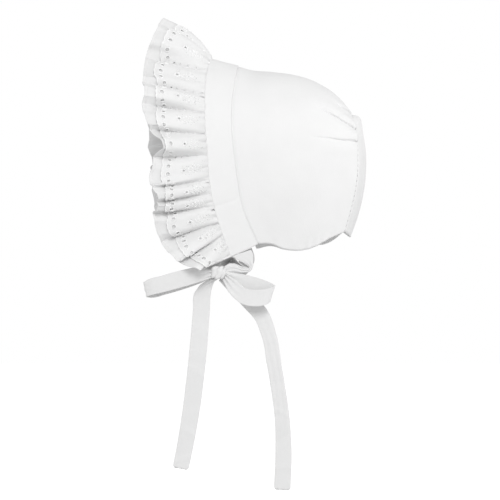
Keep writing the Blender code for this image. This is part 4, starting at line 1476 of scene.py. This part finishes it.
print("deepest cross crease mm", round(float(np.abs(cross_creases(np.linspace(0, 1, 200), 0.0, 150)).max()) * 1000, 2))

# %% [markdown]
# ## The six straps
# The two runs start at the band's lower corners, and the loops and ends start inside the knot. The far run goes under
# the chin to the knot, and its table is made lower or higher so that it sags by a set depth.

# %% Ties, loops and ends
KNOT_REACH = 0.0012
NEAR_START = 0.38
NEAR_CREASE = 0.0007
STRAP_CREASE = 0.0021
STRAP_COLUMNS = 25

near_corner, far_corner = band_rail(np.array([-1.0, 1.0]))
near_heel, far_heel = crown_rail(0.0, np.array([-1.0, 1.0]))
knot_place = near_corner + np.array([-KNOT_FORWARD, -KNOT_OUT, -KNOT_DROP])
below = np.array([0.10, 0.0, -1.0]) * 0.0009
beside = np.array([KNOT_WIDTH / 2 - KNOT_REACH, 0.0, 0.0])
under = np.array([KNOT_WIDTH * 0.3, 0.0, -KNOT_HEIGHT / 2 + KNOT_REACH])
under_left = under * np.array([-1.0, 1.0, 1.0])
near_start = near_corner + (near_heel - near_corner) * NEAR_START + below
chin = float(np.linalg.norm(far_corner - near_corner))
chin_table = [(x, y, z * CHIN_SAG / chin, width, turn) for x, y, z, width, turn in FAR_TIE]

# Node, start, table, length, steps and how it is held
STRAPS = [
    ("tie_near", near_start, NEAR_TIE, TIE_WIDTH * 1.62, 60, "folded"),
    ("tie_far", (far_corner + far_heel) / 2 + below, chin_table, chin, 90, "hung"),
    ("bow_loop_left", knot_place - beside, LOOP_LEFT, LOOP_LEFT_LENGTH, 130, "folded"),
    ("bow_loop_right", knot_place + beside, LOOP_RIGHT, LOOP_RIGHT_LENGTH, 120, "folded"),
    ("tie_end_left", knot_place + under_left, END_LEFT, END_LEFT_LENGTH, 150, "hung"),
    ("tie_end_right", knot_place + under, END_RIGHT, END_RIGHT_LENGTH, 160, "hung"),
]
for node, start, table, length, steps, held in STRAPS:
    crease = NEAR_CREASE if node == "tie_near" else STRAP_CREASE
    grid, uv, run = strap_points(start, table, length, steps, STRAP_COLUMNS, crease, hangs=node.startswith("tie_end"))
    strap = cloth_sheet(node + "_cloth", grid, uv, TIE_COTTON_SHADED, TIE_CLOTH)
    place_piece(strap, "tie_cotton", node)
    print(node, "strap", round(float(run), 3), "m")

# %% [markdown]
# ## Hollow behind the flap
# Behind the knot and the flap of the near tie the gathered cloth is tucked back into a deep narrow hollow, which
# stays dark. Black paint would look black from every side, so the hollow is cloth with real depth. Its upper lip lies
# behind the ruffle's last gathers and the flap's slanting edge, its lower lip behind the bow and the run to the knot.

# %% Hollow cloth
HOLLOW_DEPTH = 0.0150
HOLLOW_BEHIND = 0.0008
# Share of the way, then aside and up from the band's near corner in mm: upper lip, then lower lip
HOLLOW_LIPS = [
    (0.00, -24.0, -9.0, -23.1, -13.4),
    (0.25, -15.9, -5.5, -15.0, -11.6),
    (0.45, -6.0, -2.3, -6.0, -9.8),
    (0.55, 0.3, -0.1, -1.5, -6.5),
    (0.70, 3.9, -1.6, 1.6, -8.4),
    (0.87, 9.7, -7.2, 7.5, -11.8),
    (1.00, 17.4, -11.1, 16.9, -12.8),
]


def hollow_points():
    """From lip to lip, pushed back by the root of a sine across and along, and shallow left of the knot."""
    t = np.linspace(0.0, 1.0, 81)[:, None]
    q = np.linspace(0.0, 1.0, 31)[None]
    x = curve(HOLLOW_LIPS, 1, t) * (1 - q) + curve(HOLLOW_LIPS, 3, t) * q
    z = curve(HOLLOW_LIPS, 2, t) * (1 - q) + curve(HOLLOW_LIPS, 4, t) * q
    deep = HOLLOW_DEPTH * (0.22 + 0.78 * np.clip((t - 0.38) / 0.14, 0.0, 1.0))
    y = deep * np.sin(math.pi * q) ** 0.5 * np.sin(math.pi * np.clip(t, 0.04, 0.97)) ** 0.5 + HOLLOW_BEHIND
    return near_corner + np.stack([x / 1000, y, z / 1000], axis=-1)


hollow_grid = hollow_points()
hollow = cloth_sheet("tie_near_hollow", hollow_grid, grid_lengths(hollow_grid), TIE_COTTON_SHADED, RUFFLE_SHEET)
place_piece(hollow, "tie_cotton")
print("hollow cloth", [round(v, 3) for v in flat_size(hollow_grid)])

# %% [markdown]
# ## Stitches
# Machine stitches show along the back seam and where the near tie is sewn to the band. A dashed picture would look
# flat close up, and an object for each stitch would be hundreds of objects. So each stitch is a short thread, thick
# in the middle, whose ends dip into the cloth, and all the stitches of a seam are one mesh.

# %% Stitches along a seam
STITCH_LENGTH = 0.0023
STITCH_RADIUS = 0.00034
STITCH_SIDES = 6
STITCH_SHARES = np.array([0.0, 0.12, 0.5, 0.88, 1.0])
STITCH_SIZES = np.array([0.30, 0.85, 1.0, 0.85, 0.30])


def stitch_mesh(path, outward, pitch, length, radius):
    """Tubes of six sides and five rings: rings follow the path over one stitch, and the ends sink by a square."""
    run = lengths_along(path)
    starts = np.arange(pitch / 2, run[-1] - length, pitch)
    share = STITCH_SHARES
    at = starts[:, None] + share[None] * length
    centre = np.stack([np.interp(at, run, path[:, axis]) for axis in range(3)], -1)
    up = unit(np.stack([np.interp(at, run, outward[:, axis]) for axis in range(3)], -1))
    ahead = unit(np.gradient(centre, axis=1))
    side = unit(np.cross(ahead, up))
    sink = -((2 * share - 1) ** 2) * radius * 1.6
    size = radius * STITCH_SIZES
    turn = np.arange(STITCH_SIDES) * 2 * math.pi / STITCH_SIDES
    ring = up[:, :, None] * np.sin(turn)[None, None, :, None] + side[:, :, None] * np.cos(turn)[None, None, :, None]
    points = (centre + up * sink[None, :, None])[:, :, None] + ring * size[None, :, None, None]
    one = grid_faces(len(share), STITCH_SIDES, close=True)
    faces = (one[None] + (np.arange(len(starts)) * len(share) * STITCH_SIDES)[:, None, None]).reshape(-1, 4)
    uv = np.stack(np.broadcast_arrays(at[:, :, None], turn[None, None] * radius), -1)
    return points.reshape(-1, 3), faces, uv.reshape(-1, 2)


seam_u = np.linspace(-0.999, 0.999, 1200)
seam_path = crown_rail(0.996, seam_u)
seam_out = unit(seam_path - np.array([seam_path[:, 0].mean() - 0.02, 0.0, -0.08]))
seam_line = seam_path + seam_out * 0.0002
back_thread = stitch_mesh(seam_line, seam_out, STITCH_PITCH, STITCH_LENGTH, STITCH_RADIUS)
back_stitches = mesh_object("back_seam_stitches", *back_thread, SEWING)
place_piece(back_stitches, "crown_cotton")
print("back seam stitches", len(back_stitches.data.polygons), "faces")

# %% [markdown]
# ## Stitches of the near tie
# The near tie is sewn to the band's lower edge with shorter stitches, on a straight line just above the edge.

# %% Stitches of the near tie
FLAP_PITCH = 0.0027
FLAP_STITCH = 0.0015
FLAP_OFFSET = np.array([0.0, -0.0011, 0.0012])

flap_line = near_corner + (near_heel - near_corner) * np.linspace(0.06, 0.94, 60)[:, None] + FLAP_OFFSET
flap_out = np.broadcast_to(np.array([0.0, -1.0, 0.0]), flap_line.shape)
flap_thread = stitch_mesh(flap_line, flap_out, FLAP_PITCH, FLAP_STITCH, STITCH_RADIUS)
flap_stitches = mesh_object("tie_near_stitches", *flap_thread, SEWING)
place_piece(flap_stitches, "tie_cotton")
print("near tie stitches", len(flap_stitches.data.polygons), "faces")

# %% [markdown]
# ## Knot
# The knot is one turn of the strap pulled tight over the others. Real wraps would cross each other in a space of a
# centimetre, so it is a rounded block, which powers of sine and cosine give from two angles, cut by slanting creases.

# %% Knot
KNOT_SWELL = 1.16
KNOT_LIFT = np.array([0.0, 0.0, 0.0008])
KNOT_MAP = 0.006


def knot_points():
    """Squarish block from two angles, cut by slanting creases: the root of a sine keeps each crease narrow."""
    a = np.linspace(0.0, 2 * math.pi, 96, endpoint=False)[None]
    b = np.linspace(-math.pi / 2, math.pi / 2, 61)[:, None]

    def power(value, exponent):
        return np.sign(value) * np.abs(value) ** exponent

    ring = power(np.cos(b), 0.62)
    x = ring * power(np.cos(a), 0.70)
    y = ring * power(np.sin(a), 0.70)
    z = power(np.sin(b), 0.62) + 0 * a
    creases = np.abs(np.sin(3.3 * x - 1.7 * z + 0.6 * np.sin(3 * z) + 0.9)) ** 0.5
    ridges = 0.74 + 0.26 * creases * np.abs(np.cos(b)) ** 0.4 + 0.04 * np.sin(5 * z + 2 * x)
    half = np.array([KNOT_WIDTH, KNOT_THICKNESS, KNOT_HEIGHT]) / 2
    points = knot_place + np.stack([x, y, z], -1) * ridges[..., None] * half * KNOT_SWELL + KNOT_LIFT
    return points, np.stack(np.broadcast_arrays(a * KNOT_MAP, b * KNOT_MAP), -1)


knot_grid, knot_uv = knot_points()
rows, columns = knot_grid.shape[:2]
knot_mesh = merged(knot_grid.reshape(-1, 3), grid_faces(rows, columns, close=True), knot_uv.reshape(-1, 2))
knot = mesh_object("bow_knot_cloth", *knot_mesh[:3], TIE_COTTON_SHADED)
place_piece(knot, "tie_cotton", "bow_knot")
print("knot", len(knot_mesh[1]), "faces")
